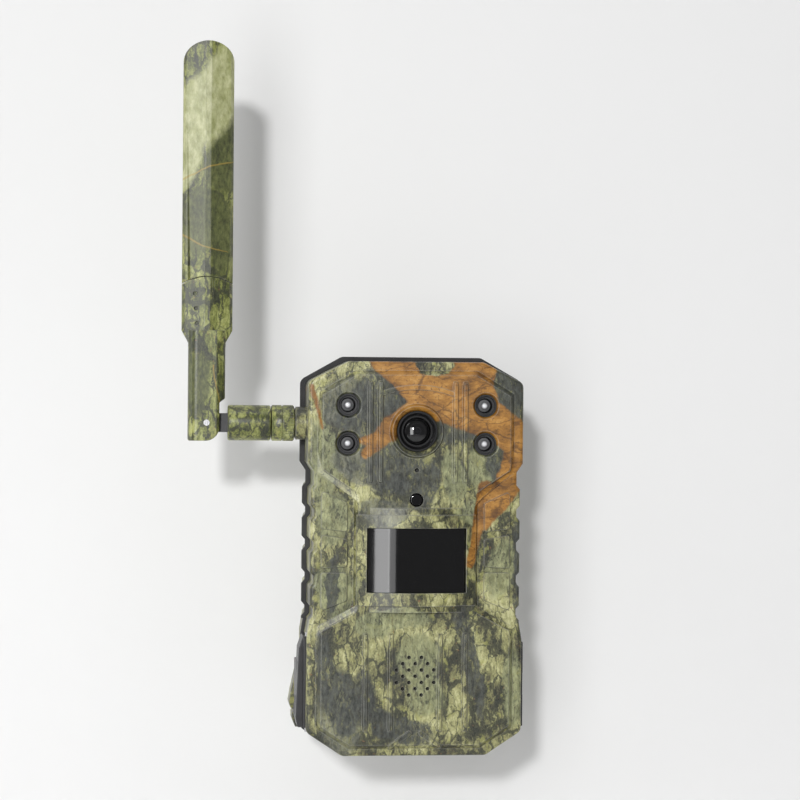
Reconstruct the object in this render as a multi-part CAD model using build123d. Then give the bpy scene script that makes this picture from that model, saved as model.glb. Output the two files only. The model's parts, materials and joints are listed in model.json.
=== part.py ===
from build123d import *
import os

# Cellular trail camera. X is to the right as seen from the front, Y goes back, Z is up.
# The origin is the mouth of the tripod socket, in the middle of the bottom face. Millimetres.

# Overall sizes of the case
body_height = 142.0
half_width = 39.0
lower_flare = 0.0
waist_inset = 1.0
valley_inset = 2.2
top_chamfer_run = 14.6
top_chamfer_drop = 7.4
base_chamfer_run = 13.0
base_chamfer_rise = 8.6
corner_radius = 3.0
wall = 2.2
lower_half_width = half_width + lower_flare
waist_half_width = half_width - waist_inset
valley_half_width = half_width - valley_inset
top_half_width = half_width - top_chamfer_run
base_half_width = lower_half_width - base_chamfer_run
room_half_width = valley_half_width - wall

# Depth stations, from the parting plane at the seal
part_y = -12.0
front_depth = 22.0
rear_depth = 24.0
seal_thickness = 2.8
seal_gap = 0.3
seal_proud = 1.1
seal_extra = 0.7
plateau_rise = 2.4
plateau_slope = 35.0
plateau_inset = 3.4
front_rounding = 1.2
back_rounding = 1.2
front_y = part_y - front_depth
base_front_y = front_y + plateau_rise
rear_y = part_y + rear_depth
door_back_y = part_y - seal_thickness / 2 - seal_gap
rear_rim_y = part_y + seal_thickness / 2

# Side profile
lower_section_top = 42.0
waist_bottom = 48.0
upper_section_drop = 36.5
waist_drop = 39.8
wide_valley_height = 4.6
scallop_pitch = 12.0
scallop_half_mouth = 2.7
scallop_half_floor = 1.3

# Optics, measured down from the top
lens_z = body_height - 25.0
lens_hole_radius = 7.4
lens_ring_radius = 10.0
lens_ring_rise = 2.4
led_z = [body_height - 15.7, body_height - 29.5]
led_x = 24.8
led_radius = 2.5
cup_radius = 4.1
cup_recess = 2.6
mic_hole_radius = 0.8
mic_radius = 3.0
mic_drop = 14.0
daylight_drop = 24.7
mic_z = lens_z - mic_drop
daylight_z = lens_z - daylight_drop
daylight_radius = 2.5

# Motion sensor window
pir_z = lens_z - 46.3
pir_half_width = 17.9
pir_half_height = 11.6
pir_frame_half_width = 21.6
pir_frame_half_height = 16.3
pir_frame_radius = 55.0
pir_bulge = 4.6
pir_glass = 1.3
pir_flange = 1.5
fit = 0.15

# Speaker
speaker_z = 29.0
speaker_radius = 10.0
speaker_hole_radius = 0.65
speaker_pitch = 4.5
speaker_rows = [2, 3, 4, 3, 4, 3, 2]

# Inner panel, boards and screws
panel_thickness = 1.8
panel_inset = 0.6
board_thickness = 1.6
board_gap = 2.6
board_base_z = 16.0
board_top_drop = 12.0
board_depth = 11.5
board_y = front_y + board_depth
board_half_width = room_half_width - board_gap
lamp_board_y = front_y + 8.4
lamp_board_thickness = 1.2
post_radius = 3.2
screw_radius = 1.25
screw_slack = 0.25
screw_head_radius = 2.4
screw_head_height = 1.0
lower_post = (29.0, 12.0)
upper_post_x = 12.5
upper_post_drop = 9.5
panel_front_y = door_back_y - panel_inset - panel_thickness

# Cards and controls on the inner panel
card_pocket_depth = 3.4
card_pocket_half_width = 16.5
card_socket_drop = 47.0
card_socket_height = 13.6
card_room = 17.0
card_travel = 12.0
card_x = [-8.0, 8.0]
card_size = [(11.0, 15.0, 0.9), (8.8, 12.3, 0.7)]
controls_drop = 22.0
switch_x = -16.0
switch_travel = 4.0
button_x = [2.0, 12.0]
button_radius = 2.2
button_proud = 0.8
button_travel = 0.6
contact_pin_x = [-3.0, 3.0]

# Hinge on the right side
hinge_x = half_width - 0.8
hinge_y = -4.0
hinge_barrel_radius = 2.6
hinge_web = 2.4
hinge_pin_radius = 1.0
hinge_bore_clearance = 0.05
hinge_arm_height = 12.0
hinge_knuckle_height = 5.4
hinge_z = [25.0, body_height - 24.0]
hinge_gap = 0.25

# Latch on the left side
latch_base_z = 9.5
latch_top_z = 43.0
latch_pin_x = -(lower_half_width - 0.7)
latch_pin_y = part_y - 14.0
latch_pin_radius = 0.9
latch_bore_clearance = 0.05
latch_barrel_radius = 1.7
latch_gap = 0.3
latch_floor_x = latch_pin_x + latch_barrel_radius + 0.8
latch_block_x = latch_floor_x + 1.8
latch_lift = 3.4
hook_base_z = 19.0
hook_top_z = 33.0
hook_thickness = 1.1
hook_clearance = 0.2
catch_height = 0.8
catch_y = -8.6
catch_width = 1.2
catch_x = -(lower_half_width + catch_height)

# Port cover on the right side
cover_base_z = 9.8
cover_top_z = 41.0
cover_front_y = front_y + 5.6
cover_hinge_y = part_y - 5.6
cover_hinge_radius = 0.95
cover_floor_x = lower_half_width - 2.0
cover_outer_x = lower_half_width + 1.0
cover_hinge_x = cover_floor_x + 1.35
cover_gap = 0.2
plug_depth = 1.2
plug_slack = 0.7
charge_port_z = 21.5
charge_port_half = (1.8, 4.7)
power_port_z = 34.0
power_port_half = (3.2, 3.2)
port_y = (cover_front_y + cover_hinge_y) / 2

# Antenna
antenna_y = -22.6
antenna_z = body_height - 22.5
boss_outer_radius = 5.95
boss_length = 4.1
boss_end_x = -(half_width + boss_length)
jack_radius = 3.15
jack_bore_radius = 2.35
nut_outer_radius = 6.5
nut_length = 8.1
nut_knurls = 36
sleeve_radius = 6.4
sleeve_length = 15.4
joint_gap = 0.35
core_radius = 2.1
tongue_half_height = 3.4
tongue_half_thickness = 2.4
tongue_clearance = 0.2
elbow_reach = 7.7
elbow_pin_radius = 1.1
shank_half_width = 6.65
shank_half_thickness = 5.5
shank_drop = 6.5
blade_half_width = 9.1
blade_half_thickness = 4.7
blade_edge_half_thickness = 3.0
shoulder_base = 28.7
shoulder_top = 33.1
seam_height = 52.3
seam_radius = 16.6
seam_gap = 0.25
blade_height = 137.0
blade_tip_height = 7.6

# Batteries
cell_radius = 7.2
cell_length = 50.4
cell_pitch = 15.2
cells_per_row = 4
cell_y = 0.0
bank_base_z = [16.0, 76.5]
contact_room = 3.0
contact_half_width = 4.0
tray_base_thickness = 1.6
tray_wall = 1.4
tray_clearance = 0.3
tray_half_width = (cells_per_row - 1) / 2 * cell_pitch + cell_radius + tray_clearance + tray_wall
tray_front_y = cell_y - 3.5
tray_base_y = cell_y + cell_radius + tray_clearance + tray_base_thickness
tray_tab_z = 8.0
bridge_z = (bank_base_z[0] + cell_length + bank_base_z[1]) / 2

# Tripod socket
tripod_bore_radius = 2.6
tripod_bore_depth = 8.5
tripod_insert_radius = 4.2
tripod_insert_length = 10.0
tripod_boss_cap = 1.4
tripod_boss_radius = 6.6

# Strap loops and tree pads on the back
loop_x = 27.0
loop_bar_width = 6.0
loop_gap = 5.0
loop_bar_thickness = 3.0
loop_half_height = 16.0
loop_leg = 3.0
loop_z = 71.0
pad_x = 12.0
pad_width = 8.0
pad_length = 70.0
pad_teeth = 7


def block(x0, x1, y0, y1, z0, z1):
    """A box between six planes."""
    size = Box(abs(x1 - x0), abs(y1 - y0), abs(z1 - z0))
    return Pos((x0 + x1) / 2, (y0 + y1) / 2, (z0 + z1) / 2) * size


def rod_x(y, z, radius, x0, x1):
    return Pos((x0 + x1) / 2, y, z) * Rot(0, 90, 0) * Cylinder(radius, abs(x1 - x0))


def rod_y(x, z, radius, y0, y1):
    return Pos(x, (y0 + y1) / 2, z) * Rot(90, 0, 0) * Cylinder(radius, abs(y1 - y0))


def rod_z(x, y, radius, z0, z1):
    return Pos(x, y, (z0 + z1) / 2) * Cylinder(radius, abs(z1 - z0))


def cone_y(x, z, radius_front, radius_back, y_front, y_back):
    """A cone along Y. Its front end is the one with the smaller Y."""
    shape = Cone(radius_back, radius_front, abs(y_back - y_front))
    return Pos(x, (y_front + y_back) / 2, z) * Rot(90, 0, 0) * shape


def prism(face, y0, y1):
    """A face drawn in X and Z, carried from the plane y0 forward to the plane y1."""
    return extrude(Plane.XZ.offset(-max(y0, y1)) * face, amount=abs(y1 - y0))


def drawn(points, radii):
    """A closed face with a radius at each corner."""
    line = FilletPolyline(*points, radius=radii, close=True)
    return make_face(line)


def mirrored(half):
    """A closed outline from its right half, which runs from the bottom to the top."""
    return half + [(-x, z) for x, z in reversed(half)]


def case_half(outset=0.0):
    """Right half of the case's outline with its scallops, moved outwards by outset."""
    lower, waist = lower_half_width + outset, waist_half_width + outset
    valley, upper = valley_half_width + outset, half_width + outset
    waist_top = body_height - waist_drop
    half = [
        (base_half_width + outset * 0.7, -outset),
        (lower, base_chamfer_rise - outset * 0.35),
        (lower, lower_section_top),
        (waist, waist_bottom),
    ]
    count = int((waist_top - wide_valley_height - waist_bottom) / scallop_pitch)
    for n in range(count):
        z = waist_bottom + scallop_half_mouth + 0.8 + n * scallop_pitch
        half.append((waist, z - scallop_half_mouth))
        half.append((valley, z - scallop_half_floor))
        half.append((valley, z + scallop_half_floor))
        half.append((waist, z + scallop_half_mouth))
    half += [
        (waist, waist_top - wide_valley_height - 1.4),
        (valley, waist_top - wide_valley_height),
        (valley, waist_top),
        (upper, body_height - upper_section_drop),
        (upper, body_height - top_chamfer_drop + outset * 0.35),
        (top_half_width + outset * 0.7, body_height + outset),
    ]
    return half


def case_face(outset=0.0):
    half = case_half(outset)
    radii = [corner_radius, corner_radius, 1.5] + [0.5] * (len(half) - 5) + [corner_radius, corner_radius]
    return drawn(mirrored(half), radii + radii[::-1])


def room_face(inset, radius=1.5):
    """The outline of the room inside, which passes the scallops with straight sides."""
    lower, side, upper = lower_half_width - inset, valley_half_width - inset, half_width - inset
    upper_z = body_height - upper_section_drop
    half = [
        (base_half_width - inset * 0.7, inset),
        (lower, base_chamfer_rise + inset * 0.35),
        (lower, lower_section_top - 1.5),
        (side, waist_bottom - 0.5),
        (side, upper_z - 1.0),
        (upper, upper_z + 1.8),
        (upper, body_height - top_chamfer_drop - inset * 0.35),
        (top_half_width - inset * 0.7, body_height - inset),
    ]
    return drawn(mirrored(half), radius)


def plateau_face(inset=0.0):
    """The raised front: wide at the lenses and the base, narrow beside the sensor window."""
    narrow = pir_frame_half_width + 0.9 - inset
    low, high = lower_half_width - plateau_inset - inset, half_width - plateau_inset - inset
    half = [
        (base_half_width - 2.2 - inset * 0.7, 2.6 + inset),
        (low, base_chamfer_rise + 1.6 + inset * 0.2),
        (low, lower_section_top + 4.5 - inset),
        (narrow, pir_z - pir_frame_half_height - 1.0 - inset * 0.5),
        (narrow, daylight_z + 1.0 + inset * 0.5),
        (high, body_height - upper_section_drop - 3.5 + inset),
        (high, body_height - top_chamfer_drop - 4.0 - inset * 0.3),
        (top_half_width - 2.2 - inset * 0.7, body_height - 3.2 - inset),
    ]
    return drawn(mirrored(half), 1.2)


def pad_faces():
    """The three raised pads beside the window, on the right side."""
    inner, outer = pir_frame_half_width + 3.2, waist_half_width - 3.9
    top, low = pir_z + 24.8, pir_z - 18.2
    heights = [
        (pir_z + 10.1, pir_z + 11.2, top, pir_z + 20.4),
        (pir_z - 2.4, pir_z - 3.0, pir_z + 9.0, pir_z + 7.4),
        (pir_z - 14.6, low, pir_z - 4.6, pir_z - 4.6),
    ]
    faces = []
    for inner_low, outer_low, outer_high, inner_high in heights:
        corners = [(inner, inner_low), (outer, outer_low), (outer, outer_high), (inner, inner_high)]
        faces.append(drawn(corners, 1.0))
    return faces


def both_sides(shape):
    return shape + mirror(shape, about=Plane.YZ)


def joined(shapes):
    result = shapes[0]
    for shape in shapes[1:]:
        result = result + shape
    return result


def ends_at(shape, y):
    """The edges of a shape that lie in the plane at y."""
    return shape.edges().filter_by(lambda e: abs(e.bounding_box().min.Y - y) + abs(e.bounding_box().max.Y - y) < 0.02)


pir_axis_y = front_y - pir_bulge + pir_frame_radius
pir_glass_radius = pir_frame_radius - 0.9
pir_glass_back_radius = pir_glass_radius - pir_glass
pir_flange_front_radius = pir_glass_back_radius + 0.6


def pir_column(radius, half_width, half_height):
    """An upright cylinder about the window's axis, kept to a rectangle as seen from the front."""
    column = rod_z(0, pir_axis_y, radius, pir_z - half_height, pir_z + half_height)
    keep = block(-half_width, half_width, front_y - 12, part_y - 4, pir_z - half_height, pir_z + half_height)
    return column & keep


def post_spots():
    lower = [(side * lower_post[0], lower_post[1]) for side in (-1, 1)]
    upper = [(side * upper_post_x, body_height - upper_post_drop) for side in (-1, 1)]
    return lower + upper


def hinge_reach():
    """Half the height of a whole hinge: the arm, its gaps and both knuckles."""
    return hinge_arm_height / 2 + hinge_gap + hinge_knuckle_height


# The front half of the case


def front_shell_outside():
    body = prism(case_face(), door_back_y, base_front_y)
    body = fillet(ends_at(body, base_front_y), front_rounding)
    raised = extrude(Plane.XZ.offset(-base_front_y) * plateau_face(), amount=plateau_rise, taper=plateau_slope)
    return body + raised


def front_relief():
    """What stands proud of the raised front: lens ring, brow, ribs, window frame and pads."""
    ring = cone_y(0, lens_z, lens_ring_radius - 0.9, lens_ring_radius, front_y - lens_ring_rise, front_y + 0.5)
    brow = rod_y(0, lens_z - 22.0, 38.6, front_y - 0.9, front_y + 0.5)
    brow = brow - rod_y(0, lens_z - 22.0, 36.9, front_y - 2, front_y + 1)
    brow = brow & block(-14, 14, front_y - 2, front_y + 1, lens_z, lens_z + 20)
    frame = pir_column(pir_frame_radius, pir_frame_half_width, pir_frame_half_height)
    lip = pir_column(pir_frame_radius - 1.6, pir_frame_half_width - 5.0, pir_frame_half_height + 2.4)
    pads = [both_sides(prism(face, base_front_y + 0.5, base_front_y - 1.4)) for face in pad_faces()]
    return [ring, brow, frame, lip] + ribs() + feet() + pads


def ribs():
    """Narrow upright ribs: pairs beside the lens, and a spine with two steps below the window."""
    upper = [(x, daylight_z + 6, body_height - 7.0) for x in (-16.8, -13.2, 13.9, 17.5)]
    lower = [(x, 9.0, lower_section_top + 2.5) for x in (-18.0, -8.9, 8.9, 18.0)]
    return [bevelled_rib(x, low, high) for x, low, high in upper + lower]


def bevelled_rib(x, low, high):
    face = drawn([(x - 1.1, low), (x + 1.1, low), (x + 1.1, high), (x - 1.1, high)], 0.4)
    return extrude(Plane.XZ.offset(-(front_y + 0.2)) * face, amount=1.3, taper=20)


def feet():
    """Two slanted bars that make a notch in the middle of the bottom edge."""
    face = drawn([(1.2, 8.8), (1.9, 7.6), (9.3, 2.9), (9.8, 4.2), (2.0, 9.6)], 0.2)
    foot = prism(face, base_front_y + 0.5, front_y - 0.8)
    return [foot, mirror(foot, about=Plane.YZ)]


def speaker_holes():
    holes = []
    row_pitch = speaker_pitch / 2
    for row, count in enumerate(speaker_rows):
        z = speaker_z + (row - (len(speaker_rows) - 1) / 2) * row_pitch
        for n in range(count):
            x = (n - (count - 1) / 2) * speaker_pitch
            holes.append(rod_y(x, z, speaker_hole_radius, front_y - 2, front_y + wall + 2))
    return holes


def front_housing():
    shell = joined([front_shell_outside()] + front_relief())
    shell = shell - prism(room_face(wall), door_back_y + 1, base_front_y + wall)
    shell = shell - prism(plateau_face(3.2), base_front_y + wall + 1, front_y + wall)
    for x, z in post_spots():
        shell = shell + rod_y(x, z, post_radius, front_y + wall - 0.3, panel_front_y)
        shell = shell - rod_y(x, z, screw_radius, panel_front_y - 9, panel_front_y + 1)
    # the window's opening, with a seat for its flange behind
    seat = pir_flange + fit
    shell = shell - pir_column(pir_frame_radius + 2, pir_half_width, pir_half_height)
    shell = shell - pir_column(pir_flange_front_radius + fit, pir_half_width + seat, pir_half_height + seat)
    # lens funnel, lamp holes, microphone, daylight and speaker holes
    shell = shell - rod_y(0, lens_z, lens_hole_radius, front_y - 6, door_back_y)
    funnel_y = front_y - lens_ring_rise
    shell = shell - cone_y(0, lens_z, lens_hole_radius + 1.6, lens_hole_radius, funnel_y, front_y - 0.4)
    for x, z in lamp_spots():
        shell = shell - rod_y(x, z, cup_radius, front_y - 1, door_back_y)
        shell = shell - cone_y(x, z, cup_radius + 0.7, cup_radius, front_y, front_y + 0.7)
    shell = shell - rod_y(0, mic_z, mic_hole_radius, front_y - 1, front_y + wall + 1)
    shell = shell - rod_y(0, daylight_z, daylight_radius, front_y - 1, front_y + wall + 1)
    shell = shell - joined(speaker_holes())
    return latch_pocket(cover_pocket(antenna_boss(shell))) + hinge_arms()


def lamp_spots():
    return [(x, z) for x in (-led_x, led_x) for z in led_z]


def antenna_boss(shell):
    """The round boss on the left side that carries the aerial socket."""
    shell = shell + rod_x(antenna_y, antenna_z, boss_outer_radius, boss_end_x, -half_width + wall)
    shell = shell + rod_x(antenna_y, antenna_z, boss_outer_radius - 0.5, boss_end_x - 0.3, -half_width)
    return shell - rod_x(antenna_y, antenna_z, jack_radius + fit, boss_end_x - 1, -half_width + wall + 3)


def cover_pocket(shell):
    """A pocket for the port cover, with the two ports' openings in its floor."""
    edge = 1.2
    block_x = cover_floor_x - 1.8
    shell = shell + block(
        block_x, lower_half_width - 1, cover_front_y - edge, door_back_y, cover_base_z - edge, cover_top_z + edge
    )
    shell = shell - block(
        cover_floor_x, lower_half_width + 5, cover_front_y, cover_hinge_y + 2.1, cover_base_z, cover_top_z
    )
    for z, (half_y, half_z) in ports():
        shell = shell - block(
            block_x - 1, cover_floor_x + 1, port_y - half_y, port_y + half_y, z - half_z, z + half_z
        )
    return shell


def ports():
    return [(charge_port_z, charge_port_half), (power_port_z, power_port_half)]


def latch_pocket(shell):
    """A pocket for the latch lever, with holes for its pin above and below."""
    edge, front = 1.5, latch_pin_y - 3.2
    shell = shell + block(
        -(lower_half_width - 1), latch_block_x, front - 1.2, door_back_y, latch_base_z - edge, latch_top_z + edge
    )
    shell = shell - block(
        -(lower_half_width + 5), latch_floor_x, front, door_back_y + 1, latch_base_z, latch_top_z
    )
    return shell - rod_z(latch_pin_x, latch_pin_y, latch_pin_radius, latch_base_z - 1.2, latch_top_z + 1.2)


def hinge_arms():
    arms = []
    for z in hinge_z:
        low, high = z - hinge_arm_height / 2, z + hinge_arm_height / 2
        web = block(hinge_x - hinge_web + 0.8, hinge_x + 0.8, door_back_y - 2, hinge_y, low, high)
        barrel = rod_z(hinge_x, hinge_y, hinge_barrel_radius, low, high)
        bore = rod_z(hinge_x, hinge_y, hinge_pin_radius + hinge_bore_clearance, low - 1, high + 1)
        arms.append(web + barrel - bore)
    return joined(arms)


# The rear half of the case


def hinge_notch(z):
    """The room that one hinge arm needs in the rear housing and in the seal."""
    low, high = z - hinge_arm_height / 2 - hinge_gap, z + hinge_arm_height / 2 + hinge_gap
    inner = hinge_x - hinge_barrel_radius - 0.4
    return block(inner, hinge_x + 12, part_y - 6, hinge_y + hinge_barrel_radius + 0.5, low, high)


def rear_housing():
    body = prism(case_face(), rear_y, rear_rim_y)
    body = fillet(ends_at(body, rear_y), back_rounding)
    body = body - prism(room_face(wall), rear_y - wall, rear_rim_y - 1)
    # a block for each hinge, notched for the door's arm, with a knuckle above and below it
    for z in hinge_z:
        low, high = z - hinge_reach(), z + hinge_reach()
        body = body + block(hinge_x - 5.0, half_width - 0.6, rear_rim_y, hinge_y + 5.0, low, high)
        body = body + rod_z(hinge_x, hinge_y, hinge_barrel_radius, low, high)
        body = body - hinge_notch(z) - rod_z(hinge_x, hinge_y, hinge_pin_radius, low, high + 1)
    body = body + rod_z(0, 0, tripod_boss_radius, 0.5, tripod_insert_length + tripod_boss_cap)
    body = body - rod_z(0, 0, tripod_insert_radius, -1, tripod_insert_length)
    body = body + latch_catch() + latch_guard() + strap_loops() + tray_posts()
    for x, z in tray_screw_spots():
        body = body - rod_y(x, z, screw_radius, rear_y - 0.8, tray_base_y - 1)
    return body


def latch_catch():
    """The rib on the left side that the latch's hook comes behind."""
    y1 = catch_y + catch_width
    return block(catch_x, -(lower_half_width - 1), catch_y, y1, hook_base_z - 2, hook_top_z + 2)


def latch_guard():
    """The swelling behind the latch that keeps branches from lifting it."""
    inner, side = -(lower_half_width - 1), -lower_half_width
    low = base_chamfer_rise - 1.8
    outline = [
        (inner, low), (side - 2.0, low), (side - 3.3, low + 3.2), (side - 3.3, low + 5.2), (side - 2.6, low + 6.2),
        (side - 3.8, low + 7.2), (side - 4.4, low + 9.2), (side - 3.6, low + 13.7), (side - 1.8, low + 21.7),
        (side + 0.2, low + 30.2), (inner, low + 30.2),
    ]
    return prism(drawn(outline, 0.3), hinge_y + 10.5, hinge_y + 1.6)


def strap_loops():
    """Two loops that stand off the back, for a webbing strap."""
    loops = []
    top_y = rear_y + loop_gap + loop_bar_thickness
    for side in (-1, 1):
        x0, x1 = side * loop_x - loop_bar_width / 2, side * loop_x + loop_bar_width / 2
        low, high = loop_z - loop_half_height, loop_z + loop_half_height
        outer = block(x0, x1, rear_y - 0.5, top_y, low, high)
        outer = fillet(ends_at(outer, top_y), 1.2)
        loops.append(outer - block(x0 - 1, x1 + 1, rear_y, rear_y + loop_gap, low + loop_leg, high - loop_leg))
    return joined(loops)


def tray_screw_spots():
    return [(x, z) for x in (-cell_pitch, cell_pitch) for z in (bridge_z, tray_tab_z)]


def tray_posts():
    return joined([rod_y(x, z, 2.6, rear_y - wall + 0.5, tray_base_y) for x, z in tray_screw_spots()])


def tripod_insert():
    body = rod_z(0, 0, tripod_insert_radius, 0, tripod_insert_length)
    return body - rod_z(0, 0, tripod_bore_radius, -1, tripod_bore_depth)


def tree_pads():
    """Two toothed rubber strips that grip the bark."""
    strips = []
    tooth_pitch = pad_length / pad_teeth
    for side in (-1, 1):
        x0, x1 = side * pad_x - pad_width / 2, side * pad_x + pad_width / 2
        strip = block(x0, x1, rear_y, rear_y + 2.0, loop_z - pad_length / 2, loop_z + pad_length / 2)
        for n in range(pad_teeth):
            z = loop_z - pad_length / 2 + (n + 0.5) * tooth_pitch
            half = tooth_pitch * 0.42
            profile = Polyline((rear_y + 1.9, z - half), (rear_y + 6.0, z), (rear_y + 1.9, z + half), close=True)
            strip = strip + extrude(Plane.YZ.offset(x0) * make_face(profile), amount=pad_width)
        strips.append(strip)
    return strips


def case_seal():
    """The rubber frame in the joint, notched for the hinge arms and the latch hook."""
    back, front = rear_rim_y, rear_rim_y - seal_thickness
    ring = prism(case_face(seal_proud), back, front)
    ring = fillet(ends_at(ring, front) + ends_at(ring, back), 0.5)
    # above the latch it stands further out, except on the hinge side
    upper = prism(case_face(seal_proud + seal_extra), back, front)
    upper = fillet(ends_at(upper, front) + ends_at(upper, back), 0.5)
    ring = ring + (upper & block(-60, half_width + 1.0, back, front, waist_bottom, body_height + 5))
    ring = ring - prism(room_face(wall + 1.2), back + 1, front - 1)
    ring = ring & block(-60, 60, back + 1, front - 1, 0, body_height + 5)
    for z in hinge_z:
        half = hinge_arm_height / 2 + hinge_gap + 2
        inner = hinge_x - hinge_barrel_radius - 0.4
        ring = ring + block(inner - 2.0, inner + 1.5, back, front, z - half, z + half) - hinge_notch(z)
    return ring - block(
        catch_x - 5, -(lower_half_width - 0.4), part_y - 4, part_y + 4, hook_base_z - 0.6, hook_top_z + 0.6
    )


# Power: tray, cells and contacts


def cell_x(column):
    return (column - (cells_per_row - 1) / 2) * cell_pitch


def battery_tray():
    low = bank_base_z[0] - contact_room - tray_wall
    high = bank_base_z[1] + cell_length + contact_room + tray_wall
    tray = block(-tray_half_width, tray_half_width, tray_front_y, tray_base_y, low, high)
    side = tray_half_width - tray_wall
    floor_y = tray_base_y - tray_base_thickness
    for base in bank_base_z:
        top = base + cell_length
        tray = tray - block(-side, side, tray_front_y - 1, floor_y, base - contact_room, top + contact_room)
        for n in range(cells_per_row - 1):
            x = (cell_x(n) + cell_x(n + 1)) / 2
            tray = tray + block(x - 0.3, x + 0.3, cell_y + 4.0, floor_y + 0.5, base, top)
    for x, z in tray_screw_spots():
        tray = tray + rod_y(x, z, 3.2, tray_base_y, tray_front_y)
        if z < low:
            tray = tray + block(x - 3.2, x + 3.2, tray_front_y, tray_base_y, z, low + 0.5)
        tray = tray - rod_y(x, z, screw_radius + screw_slack, tray_base_y + 1, tray_front_y - 1)
        tray = tray - rod_y(x, z, screw_head_radius + 0.2, tray_front_y + 2.0, tray_front_y - 1)
    return tray


def battery_cell(column, bank):
    """One cell. Every second one stands the other way up."""
    x, base = cell_x(column), bank_base_z[bank]
    can = rod_z(0, 0, cell_radius, 0, cell_length - 1.4)
    can = fillet(can.edges().filter_by(GeomType.CIRCLE), 0.5)
    cell = can + rod_z(0, 0, 2.7, cell_length - 1.9, cell_length)
    if column % 2:
        cell = Pos(0, 0, cell_length) * Rot(180, 0, 0) * cell
    return Pos(x, cell_y, base) * cell


def battery_contacts():
    """A bent strip for each cell end: a plate on the tray's wall and a tongue on the cell."""
    strips = []
    for base in bank_base_z:
        top = base + cell_length
        for column in range(cells_per_row):
            strips.append(contact_strip(cell_x(column), base - contact_room, base - 0.05))
            strips.append(contact_strip(cell_x(column), top + contact_room, top + 0.05))
    return strips


def contact_strip(x, wall_z, tip_z):
    metal = 0.4 if tip_z > wall_z else -0.4
    half = contact_half_width
    plate = block(x - half, x + half, cell_y - 3.0, cell_y + 6.0, wall_z, wall_z + metal)
    post = block(x - 2.2, x + 2.2, cell_y + 4.6, cell_y + 5.0, wall_z, tip_z)
    tongue = block(x - 2.2, x + 2.2, cell_y - 2.0, cell_y + 5.0, tip_z - metal, tip_z)
    return plate + post + tongue


def screw(x, z, head_y, tip_y):
    """A cross-head screw along Y. Its head lies on the far side of head_y from its tip."""
    out = -1 if tip_y > head_y else 1
    face_y = head_y + out * screw_head_height
    head = rod_y(x, z, screw_head_radius, head_y, face_y)
    middle = (head_y + face_y) / 2
    head = head - block(x - 1.4, x + 1.4, middle, face_y + out, z - 0.3, z + 0.3)
    head = head - block(x - 0.3, x + 0.3, middle, face_y + out, z - 1.4, z + 1.4)
    return head + rod_y(x, z, screw_radius, head_y + out * 0.2, tip_y)


def tray_screws():
    return [screw(x, z, tray_front_y + 2.0, rear_y - 0.8) for x, z in tray_screw_spots()]


def contact_pads():
    """Two plates on the tray's bridge that the contact pins press on."""
    return [
        block(x - 2.0, x + 2.0, tray_front_y - 0.4, tray_front_y, bridge_z - 1.2, bridge_z + 1.2)
        for x in contact_pin_x
    ]


def contact_pins():
    """Two spring pins from the board through the panel to the plates on the tray."""
    tip = tray_front_y - 0.5
    back = board_y + board_thickness
    return [rod_y(x, bridge_z, 0.9, back, tip - 2) + rod_y(x, bridge_z, 0.5, tip - 2.5, tip) for x in contact_pin_x]


# The inner panel, its controls and the cards


def card_pocket():
    """Left, right, low and high edges of the card pocket, and the sockets' top."""
    top = body_height - card_socket_drop
    half = card_pocket_half_width
    return -half, half, top - card_socket_height - 0.4, top + card_room, top


def card_floor_y():
    return panel_front_y - card_pocket_depth + 1.0


def controls_z():
    return body_height - controls_drop


def inner_panel():
    """The plate that closes the front housing behind, with its pocket for the cards."""
    front, back = panel_front_y, panel_front_y + panel_thickness
    panel = prism(room_face(wall + fit, 1.3), back, front)
    for x, z in post_spots():
        panel = panel - rod_y(x, z, screw_radius + screw_slack, back + 1, front - 1)
        panel = panel - rod_y(x, z, screw_head_radius + 0.2, back + 1, front + 0.7)
    for z in hinge_z:
        half = hinge_arm_height / 2 + 2
        panel = panel - block(hinge_x - 3.2, hinge_x + 5, back + 1, front - 1, z - half, z + half)
    panel = panel - block(-60, latch_block_x + 0.3, back + 1, front - 1, latch_base_z - 2, latch_top_z + 2)
    panel = panel - block(cover_floor_x - 2.1, 60, back + 1, front - 1, cover_base_z - 2, cover_top_z + 2)
    x0, x1, z0, z1, top = card_pocket()
    panel = panel + block(x0 - 1.2, x1 + 1.2, front + 0.5, front - card_pocket_depth, z0 - 1.2, z1 + 1.2)
    panel = panel - block(x0, x1, back + 1, card_floor_y(), z0, z1)
    z = controls_z()
    panel = panel - block(switch_x - 5.0, switch_x + 5.0, back + 1, front - 1, z - 1.6, z + 1.6)
    for x in button_x:
        panel = panel - rod_y(x, z, button_radius + fit, back + 1, front - 1)
    for x in contact_pin_x:
        panel = panel - rod_y(x, bridge_z, 1.3, back + 1, front - 1)
    return panel


def card_sockets():
    x0, x1, z0, z1, top = card_pocket()
    floor = card_floor_y()
    sockets = []
    for x, (width, length, thickness) in zip(card_x, card_size):
        body = block(x - width / 2 - 1.2, x + width / 2 + 1.2, floor, floor + 2.0, top - card_socket_height, top)
        side = width / 2 + 0.15
        slot = block(x - side, x + side, floor + 0.4, floor + 0.7 + thickness, top - card_socket_height + 1.2, top + 1)
        sockets.append(body - slot)
    return sockets


def data_card(number, cut):
    """A card with one cut corner, in its socket."""
    x, (width, length, thickness) = card_x[number], card_size[number]
    base = body_height - card_socket_drop - card_travel + 0.6
    left, right, top = x - width / 2, x + width / 2, base + length
    outline = Polyline((left, base), (right, base), (right, top), (left + cut, top), (left, top - cut), close=True)
    y = card_floor_y() + 0.55
    return prism(make_face(outline), y + thickness, y)


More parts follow.
